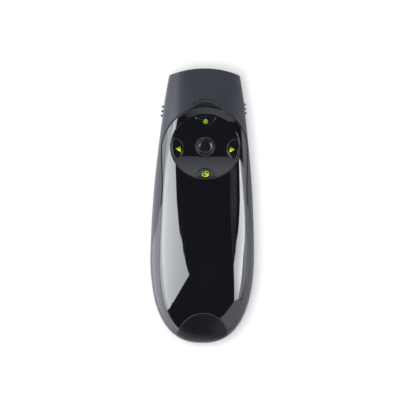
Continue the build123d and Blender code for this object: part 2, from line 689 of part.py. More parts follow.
def make_radio_chip():
    """The radio chip between the joystick and the front key's switch, with a dot at its first pin."""
    long, wide, high = CHIP_SIZE
    start = DISH_Y + STICK_BOX / 2 + CHIP_GAP
    top = BOARD_TOP + high
    chip = block((-long / 2, long / 2), (start, start + wide), (BOARD_TOP, top))
    return chip - disc(0.6 - long / 2, start + 0.6, 0.3, top - 0.15, FAR)


def make_battery_tray():
    """The moulded bay that holds both cells, open below."""
    side = TRAY_X[1]
    tray = block((-side, side), TRAY_Y, (0, TRAY_TOP)) & skin(WALL + TOUCH)
    room = block((-TRAY_X[0], TRAY_X[0]), (TRAY_Y[0] + TRAY_WALL, TRAY_Y[1] - TRAY_WALL), (0, TRAY_TOP - TRAY_WALL))
    tray -= room
    tray -= block((-FAR, FAR), (DOOR_Y[1] - 0.5, FAR), (0, TAB_Z[1] + 1.0))
    palm_x, palm_y = PALM_SCREW
    return tray - both_sides(disc(palm_x, palm_y, BOSS_RADIUS + GAP))


def make_cells():
    """Two AAA cells, side by side and head to tail."""
    cells = []
    for side in (-1, 1):
        x = side * CELL_X
        start = CELL_BACK if side < 0 else CELL_BACK + NUB_LENGTH
        can = rod_y(x, CELL_Z, CELL_RADIUS, start, start + CELL_LENGTH)
        can = fillet(can.edges().filter_by(GeomType.CIRCLE), 0.5)
        nub = rod_y(x, CELL_Z, NUB_RADIUS, CELL_BACK, CELL_FRONT)
        cells.append(can + nub)
    return cells


def make_contact_plates():
    """Front contacts, one for each cell."""
    plates = []
    for side in (-1, 1):
        x = side * CELL_X
        y = (CELL_FRONT + TOUCH, CELL_FRONT + TOUCH + CONTACT_WALL)
        plates.append(block((x - 4, x + 4), y, (5, 11.5)))
    return plates


def make_contact_springs():
    """Rear contact coils."""
    springs = []
    low = TRAY_Y[0] + TRAY_WALL + SPRING_WIRE + TOUCH
    high = CELL_BACK - SPRING_WIRE - TOUCH
    height = high - low
    for side in (-1, 1):
        coil = Helix(pitch=height / SPRING_TURNS, height=height, radius=SPRING_RADIUS)
        path = Pos(side * CELL_X, high, CELL_Z) * Rot(90, 0, 0) * coil
        springs.append(sweep((path ^ 0) * Circle(SPRING_WIRE), path, is_frenet=True))
    return springs


def door_region(grow):
    x = (-DOOR_HALF_X - grow, DOOR_HALF_X + grow)
    y = (DOOR_Y[0] - grow, DOOR_Y[1] + grow)
    return rounded_block(x, y, (0, CELL_Z), DOOR_CORNER)


def make_battery_door():
    """The door under the cells, with two tabs in front and a thumb notch behind."""
    door = (OUTSIDE - INSIDE) & door_region(0)
    tab = block(TAB_X, (DOOR_Y[1] - 1.2, DOOR_Y[1] + TAB_REACH), TAB_Z)
    foot = block(TAB_X, (DOOR_Y[1] - 1.2, DOOR_Y[1] - GAP), (WALL / 2, TAB_Z[1])) & door_region(0)
    door += both_sides(tab + foot)
    notch = Pos(0, DOOR_Y[0] + 3.5, -NOTCH_RADIUS + 1.0) * Sphere(NOTCH_RADIUS)
    return door - notch


# ================================================================ receiver
def receiver_path():
    """The way that the receiver's case takes out of the tail."""
    half = RECEIVER_HALF_X + GAP
    return block((-half, half), (-FAR, RECEIVER_Y[1]), (RIM_Z, RECEIVER_Z[1] + GAP))


def make_receiver_cap():
    """The half-moon end that fills the tail when the receiver is stowed."""
    cap = OUTSIDE & disc(0, CAP_ARC_Y, CAP_ARC - GAP, RIM_Z + GAP, FAR)
    room = block((-RECEIVER_HALF_X, RECEIVER_HALF_X), (RECEIVER_Y[0], FAR), RECEIVER_Z)
    return cap - room


def make_receiver_case():
    half = RECEIVER_HALF_X
    case = block((-half, half), (RECEIVER_Y[0] + TOUCH, RECEIVER_Y[1]), RECEIVER_Z)
    case = fillet(case.edges().filter_by(Axis.Y), 0.8)
    long = PLUG_SIZE[1]
    room = plug_block(0, RECEIVER_Y[1] - 2, RECEIVER_Y[1] + long, 0)
    return case - room


def plug_block(inset, start, end, lift):
    middle = (RECEIVER_Z[0] + RECEIVER_Z[1]) / 2 + lift
    half_x, half_z = PLUG_SIZE[0] / 2 - inset, PLUG_SIZE[2] / 2 - inset
    return block((-half_x, half_x), (start, end), (middle - half_z, middle + half_z))


def make_usb_shell():
    """The plug's folded steel shell."""
    start, end = RECEIVER_Y[1] - 2, RECEIVER_Y[1] + PLUG_SIZE[1] - 2
    shell = plug_block(0, start, end, 0) - plug_block(PLUG_WALL, start - 1, end + 1, 0)
    for x in (-2.9, 2.9):
        shell -= block((x - 1.1, x + 1.1), (end - 8.3, end - 5.8), (0, FAR))
    return shell


def make_usb_tongue():
    long = TONGUE[1]
    middle = (RECEIVER_Z[0] + RECEIVER_Z[1]) / 2
    low = middle - PLUG_SIZE[2] / 2 + PLUG_WALL
    start = RECEIVER_Y[1] - 2
    return block((-TONGUE[0] / 2, TONGUE[0] / 2), (start, start + long), (low, low + TONGUE[2]))


def make_usb_contacts():
    """The plug's four contact strips."""
    middle = (RECEIVER_Z[0] + RECEIVER_Z[1]) / 2
    low = middle - PLUG_SIZE[2] / 2 + PLUG_WALL + TONGUE[2]
    start = RECEIVER_Y[1] + 1
    strips = []
    for x in (-3.5, -1.0, 1.0, 3.5):
        strips.append(block((x - 0.5, x + 0.5), (start, start + 8), (low, low + 0.15)))
    return strips


def make_receiver_sleeve():
    """The moulded bay over the batteries that guides the receiver."""
    half = RECEIVER_HALF_X + 2 * GAP
    outer = half + SLEEVE_WALL
    floor = block((-outer, outer), SLEEVE_Y, (SLEEVE_Z, SLEEVE_Z + SLEEVE_WALL))
    rails = both_sides(block((half, outer), SLEEVE_Y, (SLEEVE_Z, RECEIVER_Z[1] - 1)))
    stop = block((-outer, outer), (SLEEVE_Y[1], SLEEVE_Y[1] + SLEEVE_WALL), (SLEEVE_Z, RECEIVER_Z[1] - 1))
    return (floor + rails + stop) & skin(COVER_WALL + LEDGE_WALL + TOUCH)


def make_case_screws():
    """Four screws from below, two at the nose and two beside the batteries."""
    screws = []
    for x, y, seat in SCREW_SPOTS:
        head = disc(x, y, SCREW_HEAD_RADIUS, seat - SCREW_HEAD_WALL, seat)
        low = seat - SCREW_HEAD_WALL
        for turn in (0, 90):
            cross = Rot(0, 0, turn) * Box(2.2, 0.5, 1.2)
            head -= Pos(x, y, low) * cross
        screws.append(head + disc(x, y, SCREW_RADIUS, seat, seat + SCREW_LENGTH))
    return screws


# ================================================================ write one file per node
def write(name, made):
    solids = made if isinstance(made, list) else [made]
    flat = [solid for shape in solids for solid in shape.solids()]
    export_step(flat[0] if len(flat) == 1 else Compound(children=flat), f"parts/{name}.step")


os.makedirs("parts", exist_ok=True)
write("upper_case", make_upper_case())
write("lower_case", make_lower_case())
write("top_cover", make_top_cover())
write("thumb_dish", make_thumb_dish())
for key in KEYS:
    write(f"{key}_key", make_key(key))
    write(f"{key}_plunger", make_plunger(key))
write("key_switches", make_key_switches())
write("status_window", make_status_window())
write("light_pipe", make_light_pipe())
write("status_led", make_status_led())
write("joystick_housing", make_joystick_housing())
write("joystick_lid", make_joystick_lid())
write("tilt_rocker", make_tilt_rocker())
write("follower_rocker", make_follower_rocker())
write("joystick_stick", make_stick())
write("joystick_cap", make_stick_cap())
write("centring_spring", make_centring_spring())
write("nose_plate", make_nose_plate())
write("laser_window", make_laser_window())
write("laser_barrel", make_laser_barrel())
write("laser_lens", make_laser_lens())
write("laser_board", make_laser_board())
write("finger_grip", make_finger_grip())
write("trigger", make_trigger())
write("trigger_pin", make_trigger_pin())
write("trigger_switch", make_trigger_switch())
write("trigger_plunger", make_trigger_plunger())
write("power_knob", make_power_knob())
write("power_switch", make_power_switch())
write("main_board", make_main_board())
write("board_screws", make_board_screws())
write("radio_chip", make_radio_chip())
write("battery_tray", make_battery_tray())
write("battery_cells", make_cells())
write("contact_plates", make_contact_plates())
write("contact_springs", make_contact_springs())
write("battery_door", make_battery_door())
write("receiver_cap", make_receiver_cap())
write("receiver_case", make_receiver_case())
write("usb_shell", make_usb_shell())
write("usb_tongue", make_usb_tongue())
write("usb_contacts", make_usb_contacts())
write("receiver_sleeve", make_receiver_sleeve())
write("case_screws", make_case_screws())
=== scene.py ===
import bpy
import math
import numpy as np
from mathutils import Matrix, Vector


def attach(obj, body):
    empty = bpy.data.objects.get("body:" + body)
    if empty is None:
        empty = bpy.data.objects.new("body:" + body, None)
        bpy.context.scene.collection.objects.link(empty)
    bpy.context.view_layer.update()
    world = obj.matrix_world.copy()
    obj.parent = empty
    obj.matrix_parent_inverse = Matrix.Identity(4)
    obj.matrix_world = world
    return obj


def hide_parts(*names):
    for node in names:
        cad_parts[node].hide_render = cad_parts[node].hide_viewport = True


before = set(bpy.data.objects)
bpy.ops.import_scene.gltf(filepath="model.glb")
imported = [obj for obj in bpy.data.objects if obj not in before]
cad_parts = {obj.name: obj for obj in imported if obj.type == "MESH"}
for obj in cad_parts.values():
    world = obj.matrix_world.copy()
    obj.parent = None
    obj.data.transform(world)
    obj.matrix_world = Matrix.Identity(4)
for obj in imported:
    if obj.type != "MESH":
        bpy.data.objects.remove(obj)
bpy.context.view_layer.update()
MM = 0.001

# ---------------------------------------------------------------- the case's shape, in millimetres
# y, half width, equator z, crown z, belly z
STATIONS = np.array([
    (-20.0, 22.0, 10.0, 26.3, -0.5),
    (-8.0, 21.65, 10.0, 26.3, -0.5),
    (5.0, 20.95, 10.4, 25.9, 0.2),
    (20.0, 19.65, 11.2, 25.0, 2.4),
    (34.0, 18.1, 12.0, 23.4, 4.2),
    (48.0, 16.3, 12.6, 21.2, 5.2),
    (62.0, 13.7, 12.8, 18.6, 7.0),
])
TAIL_Y = -20.0  # behind this the case closes in, over TAIL_LENGTH
TAIL_LENGTH = 38.4
TAIL_POWER = 2.45  # these powers say how square the case is: 2 is an ellipse
CROWN_POWER = 2.6
BELLY_POWER = 3.5
NOSE_Y = 58.35
NOSE_RADIUS = 40.5
SPLIT_DROP = 1.2  # from the equator down to the parting line
GROOVE = (0.25, 0.13)  # round the cover: how far it and the soft shell stand back from their outlines
RIM_Z = 14.7  # the height of the cover's edge round the tail
RIM_GAP = 0.05
COVER_RADIUS = 18.4
COVER_Y = 23.7
COVER_SIDE = [(18.4, 23.7), (18.15, 6.0), (19.4, -6.7), (21.4, -15.5), (24.5, -27.0)]
DISH_Y = 25.1
DISH_HALF = (14.7, 13.55)  # the half axes of the dish's oval edge
DISH_FLOOR_Y = 28.8
DISH_FLOOR_Z = 21.0
DISH_SWEEP = 38.3  # the radius of the hollow, which runs straight across the case
DISH_GAP = 0.075
KEY_RADIUS = 4.42
KEY_STRIP = 0.45  # what is left of the dish between a key and the dish's edge
KEY_GAP = 0.12
KEY_RISE = 0.35  # how far a key stands out of the hollow
KEY_REACH = 3.6  # from a key's heart to its rim, about
KEY_CROWN = 0.10
KEYS = {  # the middles of the circles that the keys are cut from
    "laser": (0.0, DISH_Y + DISH_HALF[1]),
    "blank": (0.0, DISH_Y - DISH_HALF[1]),
    "back": (-13.7, DISH_Y - 0.8),
    "forward": (13.7, DISH_Y - 0.8),
}
# a point well inside each key
KEY_HEART = {"laser": (0.0, 36.1), "blank": (0.0, 14.1), "back": (-11.3, 24.3), "forward": (11.3, 24.3)}
STATUS_Y = 38.1
STATUS_RADIUS = 7.3
WINDOW_PROUD = 0.12
WELL_RADIUS = 3.9
CAP_ARC = 10.9  # the radius of the arc between the cover and the receiver's cap
CAP_ARC_Y = -56.2
CAP_GAP = 0.15
LIP_DEPTH = 1.3  # how far the walls of the small pieces go down


def smooth_curve(xs, ys, first, last):
    """The cubic spline through the points with these end slopes: the points, and its slope at each."""
    xs = np.asarray(xs, float)
    ys = np.asarray(ys, float)
    steps = np.diff(xs)
    count = len(xs)
    left = np.zeros((count, count))
    right = np.zeros((count,) + ys.shape[1:])
    left[0, 0] = left[-1, -1] = 1
    right[0], right[-1] = first, last
    for i in range(1, count - 1):
        a, b = steps[i - 1], steps[i]
        left[i, i - 1:i + 2] = (1 / a, 2 / a + 2 / b, 1 / b)
        right[i] = 3 * ((ys[i] - ys[i - 1]) / a**2 + (ys[i + 1] - ys[i]) / b**2)
    return xs, ys, np.linalg.solve(left, right)


def follow_curve(curve, x):
    xs, ys, slopes = curve
    x = np.asarray(x, float)
    i = np.clip(np.searchsorted(xs, x) - 1, 0, len(xs) - 2)
    step = (xs[i + 1] - xs[i])[..., None]
    t = ((x - xs[i])[..., None]) / step
    return (
        ys[i] * (1 + 2 * t) * (1 - t)**2
        + ys[i + 1] * t**2 * (3 - 2 * t)
        + step * slopes[i] * t * (1 - t)**2
        + step * slopes[i + 1] * t**2 * (t - 1)
    )


PROFILE = smooth_curve(
    STATIONS[:, 0], STATIONS[:, 1:], np.zeros(4),
    (STATIONS[-1, 1:] - STATIONS[-2, 1:]) / (STATIONS[-1, 0] - STATIONS[-2, 0]) * 1.05,
)


def profile(y, inset=0.0):
    """Half width, equator z, height above it, depth below it."""
    values = follow_curve(PROFILE, np.maximum(y, TAIL_Y))
    middle = values[..., 1]
    return values[..., 0] - inset, middle, values[..., 2] - inset - middle, middle - values[..., 3] - inset


def fullness(points, inset=0.0):
    """1 on the skin, less inside it."""
    x, y, z = points[..., 0], points[..., 1], points[..., 2]
    width, middle, up, down = profile(y, inset)
    rise = z - middle
    power = np.where(rise >= 0, CROWN_POWER, BELLY_POWER)
    height = np.where(rise >= 0, up, down)
    ring = ((np.abs(x) / width)**power + (np.abs(rise) / height)**power)**(1 / power)
    back = np.clip((TAIL_Y - y) / (TAIL_LENGTH - inset), 0, None)
    return (ring**TAIL_POWER + back**TAIL_POWER)**(1 / TAIL_POWER)


def project(points, inset=0.0):
    """Points moved onto the skin, away from the case's middle."""
    points = np.asarray(points, float)
    scale = 1 / np.maximum(fullness(points, inset), 1e-6)
    middle = profile(points[..., 1])[1]
    moved = points.copy()
    moved[..., 0] *= scale
    moved[..., 2] = middle + (points[..., 2] - middle) * scale
    behind = points[..., 1] < TAIL_Y
    moved[..., 1] = np.where(behind, TAIL_Y + (points[..., 1] - TAIL_Y) * scale, points[..., 1])
    return moved


def outward(points, inset=0.0):
    """The skin's normals."""
    grad = np.zeros_like(points)
    for axis in range(3):
        nudge = np.zeros(3)
        nudge[axis] = 0.01
        grad[..., axis] = fullness(points + nudge, inset) - fullness(points - nudge, inset)
    return grad / np.linalg.norm(grad, axis=-1, keepdims=True)


def lift(plan):
    """The skin's upper side over points in plan."""
    plan = np.asarray(plan, float)
    x, y = plan[..., 0], plan[..., 1]
    width, middle, up, _ = profile(y)
    back = np.clip((TAIL_Y - y) / TAIL_LENGTH, 0, 0.9999)
    full = (1 - back**TAIL_POWER)**(1 / TAIL_POWER)
    rest = np.maximum(full**CROWN_POWER - (np.abs(x) / width)**CROWN_POWER, 0)
    z = middle + up * rest**(1 / CROWN_POWER)
    return np.stack([x, y, z], axis=-1)


def furthest(holds, count, limit, halvings):
    """For each of count rays, the reach below limit at which it leaves the region."""
    low = np.zeros(count)
    high = np.full(count, limit)
    for _ in range(halvings):
        mid = (low + high) / 2
        inside = holds(mid)
        low = np.where(inside, mid, low)
        high = np.where(inside, high, mid)
    return low


def ring_points(angles, reach, z):
    return np.stack([
        reach * np.sin(angles), TAIL_Y - reach * np.cos(angles), np.full(len(angles), z),
    ], axis=-1)


def level_ring(angles, z):
    """Points on the skin at height z round the tail, at angles from straight back about TAIL_Y."""
    reach = furthest(lambda mid: fullness(ring_points(angles, mid, z)) < 1, len(angles), 60.0, 50)
    return ring_points(angles, reach, z)


def tail_ring(end, z):
    """The skin at height z from a side's end round to the tail's tip."""
    return level_ring(np.linspace(math.atan2(end[0], TAIL_Y - end[1]), 0, 240), z)


def arc_points(radius, centre_y, angles):
    """Points in plan round (0, centre_y), at angles from straight ahead."""
    return np.stack([radius * np.sin(angles), centre_y + radius * np.cos(angles)], axis=-1)


def turns_of(count):
    return np.linspace(0, 2 * math.pi, count, endpoint=False)


def window_corner(cover_radius, light_radius):
    """Where the status window's circle meets the cover's on the right, for these radii."""
    y = (cover_radius**2 - light_radius**2 + STATUS_Y**2 - COVER_Y**2) / (2 * (STATUS_Y - COVER_Y))
    return math.sqrt(cover_radius**2 - (y - COVER_Y)**2), y


def unit(v):
    return v / np.maximum(np.linalg.norm(v, axis=-1, keepdims=True), 1e-9)


def resample(points, count):
    """The polyline with count points evenly spaced, ends kept."""
    points = np.asarray(points, float)
    lengths = np.concatenate([[0], np.cumsum(np.linalg.norm(np.diff(points, axis=0), axis=1))])
    at = np.linspace(0, lengths[-1], count)
    return np.stack([np.interp(at, lengths, points[:, k]) for k in range(points.shape[1])], axis=-1)


def mirrored(half):
    """A closed loop from its right half, which starts and ends on the centre line."""
    left = half[-2:0:-1].copy()
    left[:, 0] *= -1
    return np.concatenate([half, left])


# ---------------------------------------------------------------- meshes
def make_mesh(name, points, faces, finish):
    mesh = bpy.data.meshes.new(name)
    mesh.from_pydata([tuple(p) for p in np.asarray(points) * MM], [], faces)
    mesh.validate()
    mesh.polygons.foreach_set("use_smooth", [True] * len(mesh.polygons))
    mesh.update()
    piece = bpy.data.objects.new(name, mesh)
    bpy.context.scene.collection.objects.link(piece)
    mesh.materials.append(finish)
    return piece


def loops_mesh(name, loops, finish, centre=None):
    """Quads between closed loops of equally many points. A centre point closes the first loop."""
    count = len(loops[0])
    points = np.concatenate(loops)
    faces = []
    for row in range(len(loops) - 1):
        for i in range(count):
            j = (i + 1) % count
            a, b = row * count, (row + 1) * count
            faces.append((a + i, b + i, b + j, a + j))
    if centre is not None:
        points = np.concatenate([points, [centre]])
        hub = len(points) - 1
        for i in range(count):
            faces.append((hub, i, (i + 1) % count))
    return make_mesh(name, points, faces, finish)


def edge_frames(loop, surface_normals, inner_loop):
    """At each boundary point, the direction in the surface that leads out of the piece.

    The inner loop, a little way in from the edge, says which side is out for the loop as a whole.
    """
    ahead = np.roll(loop, -1, axis=0) - np.roll(loop, 1, axis=0)
    side = unit(np.cross(unit(ahead), surface_normals))
    return side * np.sign(np.sum(side * (loop - inner_loop)))


def lip(loop, normals, side, radius, depth, tuck=0.0):
    """Loops that round a piece's edge over and lead down its wall."""
    rows = []
    for angle in (0.0, 18.0, 36.0, 54.0, 72.0, 90.0):
        a = math.radians(angle)
        rows.append(loop - side * radius * (1 - math.sin(a)) - normals * radius * (1 - math.cos(a)))
    rows.append(loop - normals * depth)
    if tuck:
        rows.append(loop - normals * depth - side * tuck)
    return rows


def skin_piece(name, inner, outer, finish, radius, depth, rows, tuck=0.0):
    """A piece of the skin between two loops, with both edges rounded over."""
    share = 0.5 - 0.5 * np.cos(np.linspace(0, math.pi, rows))
    n_in = outward(inner)
    n_out = outward(outer)
    s_in = edge_frames(inner, n_in, project(inner * 0.98 + outer * 0.02))
    s_out = edge_frames(outer, n_out, project(inner * 0.02 + outer * 0.98))
    lip_in = lip(inner, n_in, s_in, radius, depth, tuck)
    lip_out = lip(outer, n_out, s_out, radius, depth, tuck)
    middle = [project(lip_in[0] * (1 - t) + lip_out[0] * t) for t in share]
    return loops_mesh(name, lip_in[:0:-1] + middle + lip_out[1:], finish)


# ---------------------------------------------------------------- materials
def material(name):
    mat = bpy.data.materials.new(name)
    mat.use_nodes = True
    nodes = mat.node_tree.nodes
    return mat, nodes, mat.node_tree.links, nodes["Principled BSDF"]


def object_coords(nodes):
    return nodes.new("ShaderNodeTexCoord").outputs["Object"]


def connect(links, values, sockets):
    """Gives each socket its value, which is a number, a colour or another node's output."""
    for value, socket in zip(values, sockets):
        if isinstance(value, bpy.types.NodeSocket):
            links.new(value, socket)
        else:
            socket.default_value = value


def noise(nodes, links, scale, detail=2.0):
    node = nodes.new("ShaderNodeTexNoise")
    node.inputs["Scale"].default_value = scale
    node.inputs["Detail"].default_value = detail
    node.inputs["Roughness"].default_value = 0.5
    links.new(object_coords(nodes), node.inputs["Vector"])
    return node.outputs["Fac"]


def map_range(nodes, links, value, from_min, from_max, to_min, to_max):
    node = nodes.new("ShaderNodeMapRange")
    sockets = [node.inputs[name] for name in ("Value", "From Min", "From Max", "To Min", "To Max")]
    connect(links, (value, from_min, from_max, to_min, to_max), sockets)
    return node.outputs["Result"]


def spread(nodes, links, value, low, high):
    """Maps a noise, which seldom leaves 0.3..0.7, to the range low..high."""
    return map_range(nodes, links, value, 0.3, 0.7, low, high)


def maths(nodes, links, operation, *values):
    node = nodes.new("ShaderNodeMath")
    node.operation = operation
    connect(links, values, node.inputs)
    return node.outputs[0]


def mix_colours(nodes, links, share, start, end):
    node = nodes.new("ShaderNodeMix")
    node.data_type = "RGBA"
    connect(links, (share, start, end), [node.inputs[k] for k in (0, 6, 7)])  # a mix node's colour sockets
    return node.outputs[2]


def tint(nodes, links, value, dark, light):
    """A colour between dark and light, by a noise."""
    return mix_colours(nodes, links, spread(nodes, links, value, 0, 1), (*dark, 1), (*light, 1))


def two_stops(ramp, first, second):
    """Sets a new colour ramp's two stops, each from its position and its colour."""
    for stop, (position, colour) in zip(ramp.color_ramp.elements, (first, second)):
        stop.position = position
        stop.color = (*colour, 1)


def bump(nodes, links, value, strength, distance):
    node = nodes.new("ShaderNodeBump")
    node.inputs["Strength"].default_value = strength
    node.inputs["Distance"].default_value = distance * MM
    links.new(value, node.inputs["Height"])
    return node.outputs["Normal"]


def plastic(name, colour, rough, grain=0.0, grain_size=0.25, vary=0.12, rough_vary=0.03, coat=0.0,
            sheen=0.0, metal=0.0, ior=1.5, spec=0.5):
    """Moulded plastic, rubber or metal: slight colour and gloss variation, and a fine grain.

    grain_size is in millimetres, and vary is the share by which the colour goes up and down.
    """
    mat, nodes, links, shader = material(name)
    colour = np.array(colour)
    broad = noise(nodes, links, 60.0, 3.0)
    fine = noise(nodes, links, 1.0 / (grain_size * MM), 2.0)
    links.new(tint(nodes, links, broad, colour * (1 - vary), np.minimum(colour * (1 + vary), 1)),
              shader.inputs["Base Color"])
    links.new(spread(nodes, links, broad, rough - rough_vary, rough + rough_vary), shader.inputs["Roughness"])
    shader.inputs["Metallic"].default_value = metal
    shader.inputs["IOR"].default_value = ior
    shader.inputs["Specular IOR Level"].default_value = spec
    if coat:
        shader.inputs["Coat Weight"].default_value = coat
        shader.inputs["Coat Roughness"].default_value = 0.03
    if sheen:
        shader.inputs["Sheen Weight"].default_value = sheen
        shader.inputs["Sheen Roughness"].default_value = 0.45
    if grain:
        links.new(bump(nodes, links, fine, grain, 0.02), shader.inputs["Normal"])
    return mat


def clear(name, colour):
    """A clear moulding or glass."""
    mat, nodes, links, shader = material(name)
    shader.inputs["Base Color"].default_value = (*colour, 1)
    shader.inputs["Transmission Weight"].default_value = 1.0
    shader.inputs["IOR"].default_value = 1.49
    links.new(spread(nodes, links, noise(nodes, links, 300.0), 0.03, 0.06), shader.inputs["Roughness"])
    return mat


SOFT_LOOK = dict(colour=(0.021, 0.0225, 0.031), rough=0.42, grain=0.25, grain_size=0.16, vary=0.06,
                 sheen=0.12)
SOFT = plastic("soft_touch_grey", **SOFT_LOOK)
SOFT_LOWER = plastic("soft_touch_lower", **SOFT_LOOK)
PIANO = plastic("piano_black", (0.0045, 0.0046, 0.0058), 0.045, vary=0.1, rough_vary=0.008, coat=1.0, ior=1.6)
PIANO_KEYS = plastic("key_black", (0.0050, 0.0050, 0.0060), 0.06, vary=0.1, rough_vary=0.01, coat=0.9,
                     ior=1.55)
MATTE = plastic("receiver_matte", (0.0065, 0.0068, 0.0085), 0.34, grain=0.15, grain_size=0.14, vary=0.08,
                spec=0.32)
RUBBER = plastic("stick_rubber", (0.0065, 0.0065, 0.0085), 0.19, grain=0.06, grain_size=0.12, vary=0.08)
# grey, lighter than the black dish and stick: painted highlight on the well's rounded edge
RING_HIGHLIGHT = plastic("well_ring_highlight", (0.044, 0.046, 0.056), 0.42, vary=0.08)
# light grey, far lighter than the black parts beside it: painted highlight along the cap's seam
SEAM_HIGHLIGHT = plastic("cap_seam_highlight", (0.060, 0.062, 0.072), 0.40, vary=0.08)
GRIP = plastic("grip_rubber", (0.020, 0.020, 0.023), 0.6, grain=0.35, grain_size=0.18, vary=0.1)
SMOKE = plastic("smoked_window", (0.016, 0.016, 0.019), 0.07, vary=0.1, rough_vary=0.01, coat=0.5)
DARK = plastic("inner_black", (0.014, 0.014, 0.015), 0.5, grain=0.2, vary=0.1)
NOSE = plastic("nose_plate", (0.012, 0.012, 0.014), 0.16, vary=0.1)
PALE = plastic("pale_moulding", (0.55, 0.54, 0.50), 0.45, grain=0.15, vary=0.05)
STEEL = plastic("bright_steel", (0.60, 0.60, 0.61), 0.24, vary=0.06, rough_vary=0.06, metal=1.0)
BLACK_STEEL = plastic("black_steel", (0.08, 0.08, 0.085), 0.34, vary=0.1, rough_vary=0.06, metal=1.0)
BRASS = plastic("brass", (0.62, 0.44, 0.17), 0.25, vary=0.06, rough_vary=0.05, metal=1.0)
GOLD = plastic("gold", (0.83, 0.60, 0.22), 0.22, vary=0.05, metal=1.0)
BOARD = plastic("solder_mask", (0.012, 0.085, 0.030), 0.28, vary=0.2, grain=0.1, grain_size=0.6)
CHIP = plastic("chip", (0.012, 0.012, 0.013), 0.5, grain=0.2, vary=0.1)
PIPE = clear("clear_pipe", (0.93, 0.95, 0.96))
LENS = clear("laser_glass", (0.90, 0.55, 0.55))


def shaded_sign_material():
    """Bright green print, with painted shade that darkens it towards each sign's nose side."""
    mat, nodes, links, shader = material("key_green_painted_shade")
    coords = nodes.new("ShaderNodeTexCoord")
    split = nodes.new("ShaderNodeSeparateXYZ")
    links.new(coords.outputs["Generated"], split.inputs["Vector"])
    # the ramp is painted shade: bright green at each sign's tail side, dark green at its nose side
    ramp = nodes.new("ShaderNodeValToRGB")
    two_stops(ramp, (0.08, (0.64, 0.94, 0.003)), (0.78, (0.035, 0.085, 0.003)))
    links.new(split.outputs["Y"], ramp.inputs["Fac"])
    links.new(ramp.outputs["Color"], shader.inputs["Base Color"])
    shader.inputs["Roughness"].default_value = 0.4
    shader.inputs["Specular IOR Level"].default_value = 0.25
    return mat


# the printed signs' green, with painted shade across each sign
SHADED_SIGN = shaded_sign_material()
LASER_SIGN = plastic("laser_green", (0.19, 0.36, 0.003), 0.35, vary=0.15, spec=0.25)
SIGN_EYE = plastic("laser_green_eye", (0.05, 0.12, 0.003), 0.35, vary=0.1, spec=0.25)


def cell_material():
    """A dark sleeve with a bare steel band at each end."""
    mat, nodes, links, shader = material("cell_sleeve")
    split = nodes.new("ShaderNodeSeparateXYZ")
    links.new(object_coords(nodes), split.inputs["Vector"])
    # 1 on the sleeve, 0 on the bands
    middle, half_length = -17.0 * MM, 20.4 * MM
    sleeve = maths(nodes, links, "COMPARE", split.outputs["Y"], middle, half_length)
    dark = tint(nodes, links, noise(nodes, links, 150.0), (0.012, 0.016, 0.030), (0.016, 0.022, 0.038))
    bare = (0.58, 0.58, 0.58, 1)
    links.new(mix_colours(nodes, links, sleeve, bare, dark), shader.inputs["Base Color"])
    links.new(maths(nodes, links, "SUBTRACT", 1.0, sleeve), shader.inputs["Metallic"])
    shader.inputs["Roughness"].default_value = 0.3
    return mat


CELLS = cell_material()
FINISH = {
    "upper_case": SOFT, "lower_case": SOFT_LOWER, "top_cover": PIANO, "thumb_dish": PIANO,
    "laser_key": PIANO_KEYS, "blank_key": PIANO_KEYS, "back_key": PIANO_KEYS, "forward_key": PIANO_KEYS,
    "laser_plunger": DARK, "blank_plunger": DARK, "back_plunger": DARK, "forward_plunger": DARK,
    "key_switches": STEEL, "status_window": SMOKE, "light_pipe": PIPE, "status_led": PALE,
    "joystick_housing": STEEL, "joystick_lid": STEEL, "tilt_rocker": PALE, "follower_rocker": PALE,
    "joystick_stick": DARK, "joystick_cap": RUBBER, "centring_spring": STEEL, "nose_plate": NOSE,
    "laser_window": LENS, "laser_barrel": BRASS, "laser_lens": LENS, "laser_board": BOARD,
    "finger_grip": GRIP, "trigger": PIANO_KEYS, "trigger_pin": STEEL, "trigger_switch": STEEL,
    "trigger_plunger": DARK, "power_knob": DARK, "power_switch": STEEL, "main_board": BOARD,
    "board_screws": BLACK_STEEL, "radio_chip": CHIP, "battery_tray": DARK, "battery_cells": CELLS,
    "contact_plates": STEEL, "contact_springs": STEEL, "battery_door": SOFT_LOWER, "receiver_cap": MATTE,
    "receiver_case": MATTE, "usb_shell": STEEL, "usb_tongue": PALE, "usb_contacts": GOLD,
    "receiver_sleeve": DARK, "case_screws": BLACK_STEEL,
}
for node, finish in FINISH.items():
    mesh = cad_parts[node].data
    mesh.materials.clear()
    mesh.materials.append(finish)


# ---------------------------------------------------------------- cover and soft shell
def cover_outline(grow):
    """The right side of the cover's outline in plan, grown by grow: its round front, then its side."""
    angles = np.radians(np.linspace(90, 0, 48))
    radius = COVER_RADIUS + grow
    arc = np.stack([radius * np.cos(angles), COVER_Y + radius * np.sin(angles)], axis=-1)
    side = np.array(COVER_SIDE) + (grow, 0)
    along = np.concatenate([[0], np.cumsum(np.linalg.norm(np.diff(side, axis=0), axis=1))])
    curve = smooth_curve(along, side, np.array([0.0, -1.0]), np.array([0.0, -1.0]))
    run = follow_curve(curve, np.linspace(0, along[-1], 210))
    return arc, run


def rim_cross(run, z):
    """Cuts the side's run where the skin under it falls to height z."""
    lifted = lift(run)
    below = np.argmax(lifted[:, 2] < z)
    share = (lifted[below - 1, 2] - z) / (lifted[below - 1, 2] - lifted[below, 2])
    end = run[below - 1] * (1 - share) + run[below] * share
    return np.concatenate([run[:below], [end]])


